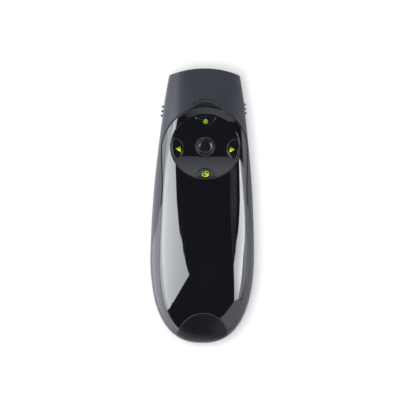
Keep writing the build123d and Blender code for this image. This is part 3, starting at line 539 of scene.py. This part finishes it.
def cover_half(grow, rim_z):
    """The right half of the cover's edge in space, with the tail's cap cut out of it."""
    arc, run = cover_outline(grow)
    run = rim_cross(run, rim_z)
    end = run[-1]
    tail = tail_ring(end, rim_z)
    tail[0] = (end[0], end[1], rim_z)
    tail = tail[:np.argmax(np.hypot(tail[:, 0], tail[:, 1] - CAP_ARC_Y) < CAP_ARC)]
    corner = tail[-1]
    turn = math.atan2(corner[0], corner[1] - CAP_ARC_Y)
    cut = arc_points(CAP_ARC, CAP_ARC_Y, np.linspace(turn, 0, 60))
    return np.concatenate([
        resample(lift(arc), 60), resample(lift(run), 70)[1:], resample(tail, 75)[1:],
        resample(lift(cut), 36)[1:],
    ])


def matched_oval(outer):
    """The dish's edge, one point for each point of the outer loop."""
    # the points are spread partly by their direction from the dish's middle and partly evenly, so that
    # no part of the oval has too few
    directions = np.unwrap(np.arctan2(outer[:, 1] - DISH_Y, outer[:, 0]))
    even = np.linspace(directions[0], directions[0] - 2 * math.pi, len(outer) + 1)[:-1]
    mixed = 0.55 * directions + 0.45 * even
    a, b = DISH_HALF[0] + DISH_GAP, DISH_HALF[1] + DISH_GAP
    return lift(np.stack([a * np.cos(mixed), DISH_Y + b * np.sin(mixed)], axis=-1))


cover_edge = mirrored(cover_half(-GROOVE[0], RIM_Z + RIM_GAP))
cover = skin_piece("cover_shell", matched_oval(cover_edge), cover_edge, PIANO, radius=0.22, depth=1.45,
                   rows=56)


def raise_collar(piece, height):
    """The cover's slight rise towards the dish, on the nose's side of it."""
    places = np.empty(len(piece.data.vertices) * 3)
    piece.data.vertices.foreach_get("co", places)
    places = places.reshape(-1, 3) / MM
    x, y = places[:, 0], places[:, 1] - DISH_Y
    reach = np.hypot(x, y)
    angle = np.arctan2(np.abs(x), y)
    near = DISH_HALF[0] * DISH_HALF[1] / np.hypot(DISH_HALF[1] * np.sin(angle), DISH_HALF[0] * np.cos(angle))
    lead = (DISH_Y - COVER_Y) * np.cos(angle)
    far = -lead + np.sqrt(np.maximum(lead**2 + COVER_RADIUS**2 - (DISH_Y - COVER_Y)**2, 0))
    rise = np.clip((far - reach) / np.maximum(far - near, 0.1), 0, 1)
    ends, fade = math.radians(56), math.radians(20)  # from straight ahead
    share = np.clip((ends - angle) / fade, 0, 1)
    places[:, 2] += height * rise * share * share * (3 - 2 * share)
    piece.data.vertices.foreach_set("co", (places * MM).ravel())
    piece.data.update()


raise_collar(cover, 0.2)
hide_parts("top_cover")
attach(cover, "case")


def shell_inner_half():
    """The edge of the soft shell next to the cover and the status window."""
    _, run = cover_outline(GROOVE[1])
    run = rim_cross(run, RIM_Z)
    tail = tail_ring(run[-1], RIM_Z)
    wide, round_light = COVER_RADIUS + GROOVE[1], STATUS_RADIUS + GROOVE[1]
    x, y = window_corner(wide, round_light)
    bulge = arc_points(round_light, STATUS_Y, np.linspace(0, math.atan2(x, y - STATUS_Y), 60))
    arc = arc_points(wide, COVER_Y, np.linspace(math.atan2(x, y - COVER_Y), math.pi / 2, 60))
    return lift(bulge), lift(arc), lift(run), tail


def split_z(y):
    """The height of the parting line between the shells."""
    return profile(np.asarray(y, float))[1] - SPLIT_DROP


def shell_outer_half():
    """The soft shell's outer edge: across the nose, then back along the parting line to the tail's tip."""
    # the nose's arc, a little too long, and cut off where it leaves the case
    nose = arc_points(NOSE_RADIUS, NOSE_Y - NOSE_RADIUS, np.linspace(0, 0.42, 400))
    nose = nose[nose[:, 0] < profile(nose[:, 1])[0]]
    over = lift(nose)
    # down the side, at the nose's corner, to the parting line
    corner_x, corner_y, corner_z = over[-1]
    drop = np.linspace(corner_z, float(split_z(corner_y)), 30)[1:]
    side = np.stack([np.full(len(drop), corner_x), np.full(len(drop), corner_y), drop], axis=-1)
    front = np.concatenate([over, project(side)])
    ys = np.linspace(corner_y, TAIL_Y, 300)[1:]
    flank = project(np.stack([profile(ys)[0], ys, split_z(ys)], axis=-1))
    tail = level_ring(np.linspace(math.pi / 2, 0, 300)[1:], float(split_z(TAIL_Y)))
    return front, flank, tail


# the inner and the outer edge in three stretches, each with as many points on both: nose, side and tail
bulge, arc, run, tail = shell_inner_half()
front, flank, back = shell_outer_half()
widest_at = np.argmax(flank[:, 1] < COVER_Y)
cross_at = np.argmax(flank[:, 1] < run[-1, 1])
inner_half = np.concatenate([
    resample(bulge, 36), resample(arc, 66)[1:], resample(run, 71)[1:], resample(tail, 111)[1:],
])
outer_half = np.concatenate([
    resample(front, 62), resample(flank[:widest_at + 1], 41)[1:-1],
    resample(flank[widest_at:cross_at + 1], 71)[1:],
    resample(np.concatenate([flank[cross_at:], back]), 111)[1:],
])
shell = skin_piece("soft_shell", mirrored(inner_half), mirrored(outer_half), SOFT, radius=0.16, depth=1.75,
                   rows=44, tuck=1.6)
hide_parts("upper_case")
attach(shell, "case")


# ---------------------------------------------------------------- receiver's end cap
def receiver_loop():
    """The cap's edge: an arc over the case, and the skin round the tail at one height."""
    radius = CAP_ARC - CAP_GAP
    tail = level_ring(np.linspace(0, 1.2, 400), RIM_Z + CAP_GAP)
    tail = tail[np.hypot(tail[:, 0], tail[:, 1] - CAP_ARC_Y) < radius]
    corner = tail[-1]
    turn = math.atan2(corner[0], corner[1] - CAP_ARC_Y)
    arc = lift(arc_points(radius, CAP_ARC_Y, np.linspace(0, turn, 60)))
    return mirrored(np.concatenate([resample(arc, 50), resample(tail[::-1], 40)[1:]]))


cap_edge = receiver_loop()
cap_middle = lift(np.array([0.0, -52.0]))
cap_inner = project(cap_middle + (cap_edge - cap_middle) * 0.04)
cap_normals = outward(cap_edge)
cap_side = edge_frames(cap_edge, cap_normals, cap_middle + (cap_edge - cap_middle) * 0.9)
cap_lips = lip(cap_edge, cap_normals, cap_side, 0.18, LIP_DEPTH)
cap_rows = [project(cap_inner * (1 - t) + cap_lips[0] * t) for t in np.linspace(0, 1, 24)]
receiver_cap = loops_mesh("receiver_end", cap_rows + cap_lips[1:], MATTE, centre=cap_middle)
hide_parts("receiver_cap")
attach(receiver_cap, "receiver")


# ---------------------------------------------------------------- pieces in the dish
def dish_surface(plan, rise=0.0):
    """The dish's hollow, raised by rise, over points in plan."""
    plan = np.asarray(plan, float)
    y = plan[..., 1]
    centre = DISH_FLOOR_Z + DISH_SWEEP
    z = centre - np.sqrt((DISH_SWEEP - rise)**2 - (y - DISH_FLOOR_Y)**2)
    return np.stack([plan[..., 0], y, z], axis=-1)


def dish_normals(points):
    centre = DISH_FLOOR_Z + DISH_SWEEP
    away = np.zeros_like(points)
    away[..., 1] = DISH_FLOOR_Y - points[..., 1]
    away[..., 2] = centre - points[..., 2]
    return unit(away)


def star_loop(centre, holds, count):
    """The edge of a region in plan, seen from a point inside it."""
    rays = np.stack([np.cos(turns_of(count)), np.sin(turns_of(count))], axis=-1)
    reach = furthest(lambda mid: holds(centre + rays * mid[:, None]), count, 20.0, 45)
    return centre + rays * reach[:, None]


def key_holds(name, shrink):
    """The test for points inside a key's outline, made smaller by shrink."""
    x, y = KEYS[name]
    a, b = DISH_HALF[0] - KEY_STRIP - shrink, DISH_HALF[1] - KEY_STRIP - shrink

    def holds(points):
        near = np.hypot(points[:, 0] - x, points[:, 1] - y) < KEY_RADIUS - shrink
        inner = (points[:, 0] / a)**2 + ((points[:, 1] - DISH_Y) / b)**2 < 1
        return near & inner

    return holds


def crowned(points, heart):
    """The key's top: the dish's hollow, raised, and curved down a little away from its heart."""
    away = np.hypot(points[..., 0] - heart[0], points[..., 1] - heart[1]) / KEY_REACH
    raised = dish_surface(points, KEY_RISE)
    raised[..., 2] += KEY_CROWN * np.clip(1 - away**2, -1, 1) - KEY_CROWN
    return raised


def make_key(name):
    heart = np.array(KEY_HEART[name])
    edge = star_loop(heart, key_holds(name, KEY_GAP), 180)
    rim = crowned(edge, heart)
    normals = dish_normals(rim)
    side = edge_frames(rim, normals, crowned(heart + (edge - heart) * 0.9, heart))
    lips = lip(rim, normals, side, 0.28, LIP_DEPTH)
    rows = [crowned(heart + (lips[0][:, :2] - heart) * t, heart) for t in np.linspace(0.04, 1, 18)]
    rows[-1] = lips[0]
    key = loops_mesh(name + "_keytop", rows + lips[1:], PIANO_KEYS, centre=crowned(heart, heart))
    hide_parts(name + "_key")
    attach(key, name + "_button")


def bead(name, loop, radius, finish, sink=0.35, body="case", closed=True):
    """A fine rounded rim along a line. sink is the share of its radius by which it sits below the line."""
    curve = bpy.data.curves.new(name, "CURVE")
    curve.dimensions = "3D"
    curve.bevel_depth = radius * MM
    curve.bevel_resolution = 4
    spline = curve.splines.new("POLY")
    spline.points.add(len(loop) - 1)
    for point, place in zip(spline.points, loop):
        point.co = (place[0] * MM, place[1] * MM, (place[2] - radius * sink) * MM, 1)
    spline.use_cyclic_u = closed
    piece = bpy.data.objects.new(name, curve)
    bpy.context.scene.collection.objects.link(piece)
    curve.materials.append(finish)
    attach(piece, body)


# the cap's seam bead runs along the arc only, from left to right; its light grey is painted highlight, the
# light line along the cap's rounded edge
on_arc = np.abs(np.hypot(cap_edge[:, 0], cap_edge[:, 1] - CAP_ARC_Y) - (CAP_ARC - CAP_GAP)) < 0.01
cap_seam_highlight = cap_edge[on_arc]
cap_seam_highlight = cap_seam_highlight[np.argsort(cap_seam_highlight[:, 0])]
bead("cap_seam_highlight", cap_seam_highlight, 0.11, SEAM_HIGHLIGHT, sink=0.2, body="receiver", closed=False)
for key in KEYS:
    make_key(key)
    hole = star_loop(np.array(KEY_HEART[key]), key_holds(key, -0.10), 180)
    bead(key + "_rim", dish_surface(hole), 0.13, PIANO_KEYS)

turns = turns_of(160)
well_edge = WELL_RADIUS + 0.02
well = np.stack([well_edge * np.cos(turns), DISH_Y + well_edge * np.sin(turns)], axis=-1)
# the well's rim bead, in a grey that paints its highlight all the way round
bead("well_rim", dish_surface(well), 0.18, RING_HIGHLIGHT)


def lathe(name, outline, finish, centre_y):
    """A turned piece from its radius and height pairs, from the axis outwards."""
    turns = turns_of(96)
    loops = [np.stack([
        radius * np.cos(turns), centre_y + radius * np.sin(turns), np.full(len(turns), z),
    ], axis=-1) for radius, z in outline]
    return loops_mesh(name, loops, finish, centre=np.array([0.0, centre_y, outline[0][1]]))


stick_outline = [
    (0.5, 23.5), (1.7, 23.5), (2.0, 23.53), (2.25, 23.61), (2.5, 23.74), (2.72, 23.88), (2.9, 23.98),
    (3.04, 24.01), (3.16, 23.96), (3.24, 23.82), (3.27, 23.55), (3.24, 23.2), (3.12, 23.0), (2.7, 22.93),
    (1.95, 22.92), (1.88, 22.8), (1.88, 20.45), (1.7, 20.41), (0.92, 20.41),
]
stick_cap = lathe("thumb_stick_cap", stick_outline, RUBBER, DISH_Y)
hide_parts("joystick_cap")
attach(stick_cap, "thumb_stick")


# ---------------------------------------------------------------- status window
def window_loops():
    """The crescent's edge, from its left corner over the top and back along the cover.

    With it comes the crescent's middle line, with a point for each point of the edge.
    """
    radius = STATUS_RADIUS - 0.22
    near = COVER_RADIUS + 0.10
    x, y = window_corner(near, radius)
    share = np.sin(np.linspace(-math.pi / 2, math.pi / 2, 70))
    over = arc_points(radius, STATUS_Y, math.atan2(x, y - STATUS_Y) * share)
    under = arc_points(near, COVER_Y, math.atan2(x, y - COVER_Y) * share)
    edge = np.concatenate([over, under[-2:0:-1]])
    middle = (over + under) / 2
    spine = np.concatenate([middle, middle[-2:0:-1]]) * (0.9, 1)
    return edge, spine


edge, spine = window_loops()
window_rim = project(lift(edge), -WINDOW_PROUD)
window_normals = outward(window_rim, -WINDOW_PROUD)
window_side = edge_frames(window_rim, window_normals, lift(edge * 0.9 + spine * 0.1))
window_lips = lip(window_rim, window_normals, window_side, 0.3, LIP_DEPTH)
window_rows = []
for t in np.linspace(0, 1, 12):
    plan = spine * (1 - t) + window_lips[0][:, :2] * t
    window_rows.append(project(lift(plan), -WINDOW_PROUD - 0.06 * (1 - t**2)))
window = loops_mesh("status_lens", window_rows + window_lips[1:], SMOKE)
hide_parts("status_window")
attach(window, "case")


# ---------------------------------------------------------------- signs on the keys
def inlay(name, outline, key, finish=SHADED_SIGN, lift_by=0.03, middle=None):
    """A printed sign: a thin flat shape on a key's top, from its corners in plan."""
    outline = np.asarray(outline, float)
    middle = np.mean(outline, axis=0) if middle is None else np.asarray(middle, float)
    fine = np.array([
        a * (1 - t) + b * t
        for a, b in zip(outline, np.roll(outline, -1, axis=0)) for t in np.linspace(0, 1, 6, endpoint=False)
    ])
    rows = []
    for t in (0.25, 0.5, 0.75, 1.0):
        top = crowned(middle + (fine - middle) * t, KEY_HEART[key])
        top[..., 2] += lift_by
        rows.append(top)
    wall = rows[-1].copy()
    wall[..., 2] -= lift_by + 0.04
    centre = crowned(middle, KEY_HEART[key])
    centre[2] += lift_by
    sign = loops_mesh(name, rows + [wall], finish, centre=centre)
    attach(sign, key + "_button")


inlay("back_sign", [(-12.6, 24.1), (-10.4, 25.5), (-10.4, 22.75)], "back")
inlay("forward_sign", [(12.6, 24.1), (10.4, 22.75), (10.4, 25.5)], "forward")

# the laser key's sign: eight rays, long and longer in turn, round an eye
LASER_SIGN_Y = 35.75
EYE_RADIUS = 0.34
rays = []
for step in range(16):
    reach = (1.32, 0.72, 1.2, 0.72)[step % 4]
    angle = math.pi / 2 + step * math.pi / 8
    rays.append((reach * math.cos(angle), LASER_SIGN_Y + reach * math.sin(angle)))
inlay("laser_sign", rays, "laser", finish=LASER_SIGN, middle=(0, LASER_SIGN_Y))
eye = [(EYE_RADIUS * math.cos(a), LASER_SIGN_Y + EYE_RADIUS * math.sin(a)) for a in turns_of(16)]
inlay("laser_sign_eye", eye, "laser", finish=SIGN_EYE, lift_by=0.045)

# the blank key's sign: a screen's frame with a bar across it
wide, high, at = 1.40, 1.0, 13.85  # half width, half height, middle
line = 0.34
top, foot = at + high, at - high
inlay("blank_sign_top", [(-wide, top), (-wide, top - line), (wide, top - line), (wide, top)], "blank")
inlay("blank_sign_left", [(-wide, top), (-wide, foot), (line - wide, foot), (line - wide, top)], "blank")
inlay("blank_sign_right", [(wide - line, top), (wide - line, foot), (wide, foot), (wide, top)], "blank")
inlay("blank_sign_foot", [
    (-wide, foot + line), (-wide, foot), (-0.6, foot - 0.45), (0.6, foot - 0.45), (wide, foot),
    (wide, foot + line),
], "blank")
inlay("blank_sign_bar", [
    (-wide + 0.2, top), (-wide + 0.2, top - 0.55), (wide - 0.7, foot + 0.1), (wide - 0.2, foot + 0.1),
    (wide - 0.2, foot + 0.6), (0.6 - wide, top),
], "blank", lift_by=0.035)


# ---------------------------------------------------------------- stage, light and camera
SCALE = 0.4262 * MM  # metres per pixel of the photograph at the case's equator
EQUATOR = 0.0105  # metres: the height at which the case is about widest
PICTURE = 400  # pixels, across and down
ORIGIN_PIXEL = (202.97, 205.9)  # where the case's origin lies in the photograph
DISTANCE = 1.60  # metres from the camera to the equator's plane

# how bright the gloss sees the floor: metres from the middle line, then the strength
MIRRORED_PAPER = [
    (-0.40, 1.6), (-0.17, 2.1), (-0.10, 2.1), (-0.075, 1.85), (-0.055, 1.65), (-0.040, 1.4), (-0.033, 1.05),
    (-0.028, 0.85), (-0.022, 0.75), (-0.008, 1.0), (0.005, 1.0), (0.018, 0.5), (0.024, 0.36), (0.034, 0.36),
    (0.047, 0.48), (0.059, 0.60), (0.080, 0.74), (0.124, 0.90), (0.27, 1.0), (0.40, 1.0),
]
BRIGHTEST_PAPER = 2.2  # above every strength in the table, to keep the ramp's colours below 1


def floor_material():
    """White paper, on which the camera sees lightened shadows. The gloss mirrors it as an uneven glow."""
    mat, nodes, links, shader = material("paper_floor")
    shader.inputs["Base Color"].default_value = (0.90, 0.90, 0.90, 1)
    shader.inputs["Roughness"].default_value = 0.9
    shader.inputs["Specular IOR Level"].default_value = 0.0
    glow = nodes.new("ShaderNodeEmission")
    seen = nodes.new("ShaderNodeLightPath")
    mirrored_here = seen.outputs["Is Glossy Ray"]
    # the mirrored glow is brightest on the left, and dims to the right, close to the case and behind the tail
    place = nodes.new("ShaderNodeNewGeometry")
    split = nodes.new("ShaderNodeSeparateXYZ")
    links.new(place.outputs["Position"], split.inputs["Vector"])
    reach, most = MIRRORED_PAPER[-1][0], BRIGHTEST_PAPER
    across = map_range(nodes, links, split.outputs["X"], -reach, reach, 0.0, 1.0)
    behind = map_range(nodes, links, split.outputs["Y"], -0.085, -0.045, 0.8 * most, most)
    ramp = nodes.new("ShaderNodeValToRGB")
    stops = ramp.color_ramp.elements
    stops.remove(stops[1])
    for k, (x, value) in enumerate(MIRRORED_PAPER):
        stop = stops.new(0.5 + x / (2 * reach)) if k else stops[0]
        stop.color = (value / most, value / most, value / most, 1)
    links.new(across, ramp.inputs["Fac"])
    strength = nodes.new("ShaderNodeMix")
    connect(links, (mirrored_here, 1.08, maths(nodes, links, "MULTIPLY", ramp.outputs["Color"], behind)),
            [strength.inputs[name] for name in ("Factor", "A", "B")])
    links.new(strength.outputs["Result"], glow.inputs["Strength"])
    links.new(mix_colours(nodes, links, mirrored_here, (1, 1, 1, 1), (0.95, 0.98, 1.08, 1)),
              glow.inputs["Color"])
    # two fifths of what the camera sees is the glow, and all of what the gloss mirrors
    camera_share = maths(nodes, links, "MULTIPLY", seen.outputs["Is Camera Ray"], 0.40)
    blend = nodes.new("ShaderNodeMixShader")
    links.new(maths(nodes, links, "MAXIMUM", camera_share, mirrored_here), blend.inputs["Fac"])
    links.new(shader.outputs[0], blend.inputs[1])
    links.new(glow.outputs[0], blend.inputs[2])
    links.new(blend.outputs[0], nodes["Material Output"].inputs["Surface"])
    return mat


bpy.ops.mesh.primitive_plane_add(size=6.0, location=(0, 0, -0.0002))
floor = bpy.context.object
floor.name = "floor"
floor.data.materials.append(floor_material())


def make_world():
    """A white background, which gives plain light and is dim for reflections."""
    world = bpy.data.worlds.new("studio")
    bpy.context.scene.world = world
    world.use_nodes = True
    nodes, links = world.node_tree.nodes, world.node_tree.links
    nodes.clear()
    coords = nodes.new("ShaderNodeTexCoord")
    split = nodes.new("ShaderNodeSeparateXYZ")
    links.new(coords.outputs["Generated"], split.inputs["Vector"])
    ramp = nodes.new("ShaderNodeValToRGB")
    two_stops(ramp, (0.0, (0.30, 0.31, 0.33)), (0.10, (0.030, 0.030, 0.034)))
    links.new(split.outputs["Z"], ramp.inputs["Fac"])
    path = nodes.new("ShaderNodeLightPath")
    light = nodes.new("ShaderNodeBackground")
    links.new(mix_colours(nodes, links, path.outputs["Is Glossy Ray"], (0.36, 0.37, 0.41, 1),
                          ramp.outputs["Color"]), light.inputs["Color"])
    white = nodes.new("ShaderNodeBackground")
    white.inputs["Color"].default_value = (1, 1, 1, 1)
    white.inputs["Strength"].default_value = 1.0
    mix = nodes.new("ShaderNodeMixShader")
    out = nodes.new("ShaderNodeOutputWorld")
    links.new(path.outputs["Is Camera Ray"], mix.inputs["Fac"])
    links.new(light.outputs[0], mix.inputs[1])
    links.new(white.outputs[0], mix.inputs[2])
    links.new(mix.outputs[0], out.inputs["Surface"])


make_world()


def light_panel(name, corners, levels, colour=(0.95, 0.985, 1.04), strip=False):
    """A light with many corners, each with its own strength.

    It is one face, or a strip of quads, whose corners are its one edge and then its other edge in the
    same order.
    """
    mesh = bpy.data.meshes.new(name)
    faces = [tuple(range(len(corners)))]
    if strip:
        half = len(corners) // 2
        faces = [(k, k + 1, half + k + 1, half + k) for k in range(half - 1)]
    mesh.from_pydata(corners, [], faces)
    strength = mesh.attributes.new("strength", "FLOAT", "POINT")
    for place, level in zip(strength.data, levels):
        place.value = level
    panel = bpy.data.objects.new(name, mesh)
    bpy.context.scene.collection.objects.link(panel)
    mat, nodes, links, shader = material(name)
    nodes.remove(shader)
    glow = nodes.new("ShaderNodeEmission")
    glow.inputs["Color"].default_value = (*colour, 1)
    stored = nodes.new("ShaderNodeAttribute")
    stored.attribute_name = "strength"
    links.new(stored.outputs["Fac"], glow.inputs["Strength"])
    links.new(glow.outputs[0], nodes["Material Output"].inputs["Surface"])
    mesh.materials.append(mat)
    panel.visible_camera = False
    panel.visible_diffuse = False
    panel.visible_shadow = False


# the panels that the gloss mirrors: corners in metres, then their strengths. On either side a bright strip
# leads from its near edge to its far edge, and a dimmer one goes on from there to the fill's edge.
LEFT_NEAR = [
    (-0.342, 0.148, 0.322), (-0.300, 0.079, 0.330), (-0.276, 0.056, 0.340), (-0.251, 0.035, 0.351),
    (-0.229, 0.022, 0.362), (-0.210, 0.006, 0.370), (-0.188, -0.010, 0.381), (-0.157, -0.019, 0.400),
    (-0.122, -0.032, 0.421), (-0.072, -0.084, 0.439),
]
LEFT_FAR = [
    (-0.444, 0.147, 0.250), (-0.620, 0.094, 0.110), (-0.647, 0.070, 0.083), (-0.642, 0.042, 0.078),
    (-0.636, 0.027, 0.077), (-0.629, 0.014, 0.078), (-0.610, -0.003, 0.086), (-0.576, -0.025, 0.104),
    (-0.515, -0.075, 0.131), (-0.436, -0.300, 0.116),
]
LEFT_FILL = [
    (-0.90, 0.28, 0.02), (-0.86, 0.16, -0.02), (-0.84, 0.09, -0.04), (-0.82, 0.05, -0.05),
    (-0.81, 0.03, -0.05), (-0.80, 0.01, -0.05), (-0.76, -0.02, -0.05), (-0.72, -0.06, -0.05),
    (-0.68, -0.18, -0.04), (-0.595, -0.381, -0.02),
]
RIGHT_NEAR = [
    (0.672, 0.129, 0.296), (0.635, 0.052, 0.316), (0.613, 0.036, 0.333), (0.581, 0.017, 0.358),
    (0.546, -0.002, 0.387), (0.495, -0.017, 0.431), (0.452, -0.037, 0.466), (0.430, -0.064, 0.481),
    (0.445, -0.116, 0.458), (0.476, -0.193, 0.414), (0.529, -0.296, 0.346),
]
RIGHT_FAR = [
    (0.718, 0.130, 0.255), (0.811, 0.063, 0.157), (0.850, 0.045, 0.117), (0.862, 0.029, 0.103),
    (0.841, 0.012, 0.119), (0.792, -0.009, 0.160), (0.720, -0.032, 0.222), (0.689, -0.061, 0.244),
    (0.667, -0.122, 0.253), (0.653, -0.188, 0.253), (0.639, -0.290, 0.246),
]
RIGHT_FILL = [
    (0.92, 0.12, 0.02), (0.93, 0.07, -0.01), (0.93, 0.05, -0.02), (0.93, 0.02, -0.02), (0.92, 0.0, -0.02),
    (0.90, -0.03, -0.02), (0.88, -0.06, -0.01), (0.85, -0.10, 0.0), (0.82, -0.17, 0.03), (0.80, -0.22, 0.05),
    (0.76, -0.29, 0.10),
]
light_panel("left_panel", LEFT_NEAR + LEFT_FAR, (
    5.0, 5.0, 5.1, 5.2, 5.1, 5.0, 4.8, 4.5, 4.3, 3.9,
    6.2, 6.6, 7.0, 7.2, 7.2, 7.2, 7.2, 7.2, 6.9, 5.4,
), strip=True)
light_panel("left_fill", LEFT_FAR + LEFT_FILL, (
    4.0, 4.5, 4.5, 4.5, 4.5, 4.5, 4.5, 4.5, 4.5, 4.0,
    3.0, 3.2, 3.2, 3.2, 3.2, 3.2, 3.2, 3.2, 3.2, 3.2,
), strip=True)
light_panel("right_panel", RIGHT_NEAR + RIGHT_FAR, (
    7.4, 6.8, 6.4, 5.8, 5.2, 4.8, 4.3, 4.3, 4.4, 4.2, 3.9,
    6.6, 6.3, 6.2, 6.6, 7.3, 7.8, 8.2, 8.6, 8.6, 7.0, 4.0,
), strip=True)
light_panel("right_fill", RIGHT_FAR + RIGHT_FILL, (
    2.0, 2.0, 2.2, 2.2, 2.2, 2.0, 1.8, 1.6, 1.6, 1.6, 1.6,
    1.4, 1.4, 1.4, 1.4, 1.4, 1.4, 1.4, 1.4, 1.4, 1.4, 1.4,
), strip=True)
light_panel("spill_panel", [
    (0.404, 0.110, 0.538), (0.384, 0.046, 0.544), (0.389, -0.012, 0.529), (0.419, -0.059, 0.492),
    (0.451, -0.015, 0.471), (0.496, 0.013, 0.435), (0.525, 0.045, 0.415), (0.565, 0.107, 0.390),
], (0.24, 0.24, 0.2, 0.12, 0.12, 0.2, 0.24, 0.24))
light_panel("tail_panel", [
    (0.62, -0.33, 0.41), (0.49, -0.43, 0.49), (0.16, -0.61, 0.51), (0.21, -0.77, 0.03), (0.74, -0.30, 0.03),
    (0.73, -0.30, 0.20),
], (0.85, 0.85, 0.85, 0.7, 0.7, 0.85), colour=(0.93, 0.98, 1.12))
light_panel("left_top_panel", [
    (-0.342, 0.148, 0.322), (-0.444, 0.147, 0.250), (-0.50, 0.24, 0.25), (-0.34, 0.24, 0.36),
], (5.0, 6.2, 5.0, 4.0))
light_panel("front_panel", [
    (-0.42, 0.36, 0.50), (-0.80, 0.34, 0.24), (-0.80, 0.75, 0.05), (-0.42, 0.75, 0.12),
], (2.2, 3.3, 3.4, 2.6), colour=(0.96, 1.0, 1.08))
light_panel("nose_panel", [
    (-0.42, 0.34, 0.55), (-0.25, 0.285, 0.55), (-0.05, 0.265, 0.55), (0.20, 0.26, 0.55), (0.45, 0.25, 0.55),
    (0.58, 0.22, 0.48), (0.72, 0.24, 0.36), (0.78, 0.35, 0.28), (0.70, 0.75, 0.10), (-0.42, 0.75, 0.12),
], (0.10, 0.20, 0.38, 0.58, 0.66, 0.55, 0.25, 0.3, 1.25, 1.2), colour=(0.94, 0.99, 1.10))

# the lamp lights the soft shell and the paper, and isn't mirrored
lamp_data = bpy.data.lights.new("top_lamp", "AREA")
lamp_data.shape = "DISK"
lamp_data.size = 0.22
lamp_data.energy = 3.2
lamp = bpy.data.objects.new("top_lamp", lamp_data)
bpy.context.scene.collection.objects.link(lamp)
lamp.location = (-0.104, 0.0, 0.591)
lamp.rotation_euler = (0, math.radians(-10), 0)
lamp.visible_camera = False
lamp.visible_glossy = False

camera_data = bpy.data.cameras.new("camera")
camera = bpy.data.objects.new("camera", camera_data)
bpy.context.scene.collection.objects.link(camera)
bpy.context.scene.camera = camera
camera_data.sensor_fit = "HORIZONTAL"
camera_data.sensor_width = 36.0
camera_data.lens = camera_data.sensor_width * DISTANCE / (PICTURE * SCALE)
camera_data.clip_start = 0.01
camera_data.clip_end = 20.0
# it looks down, from a little to the left, and turned a little in its own plane
lean = math.radians(3.8)
turn = math.radians(0.62)
# what lies at the picture's middle, on the equator's plane
target = Vector((
    (PICTURE / 2 - ORIGIN_PIXEL[0]) * SCALE, (ORIGIN_PIXEL[1] - PICTURE / 2) * SCALE, EQUATOR,
))
back = Vector((-math.sin(lean), 0, math.cos(lean)))
camera.location = target + back * DISTANCE
up = Vector((-math.sin(turn), math.cos(turn), 0))
right = up.cross(back).normalized()
up = back.cross(right)
camera.matrix_world = Matrix((
    (right.x, up.x, back.x, camera.location.x),
    (right.y, up.y, back.y, camera.location.y),
    (right.z, up.z, back.z, camera.location.z),
    (0, 0, 0, 1),
))

bpy.context.scene.view_settings.view_transform = "Standard"
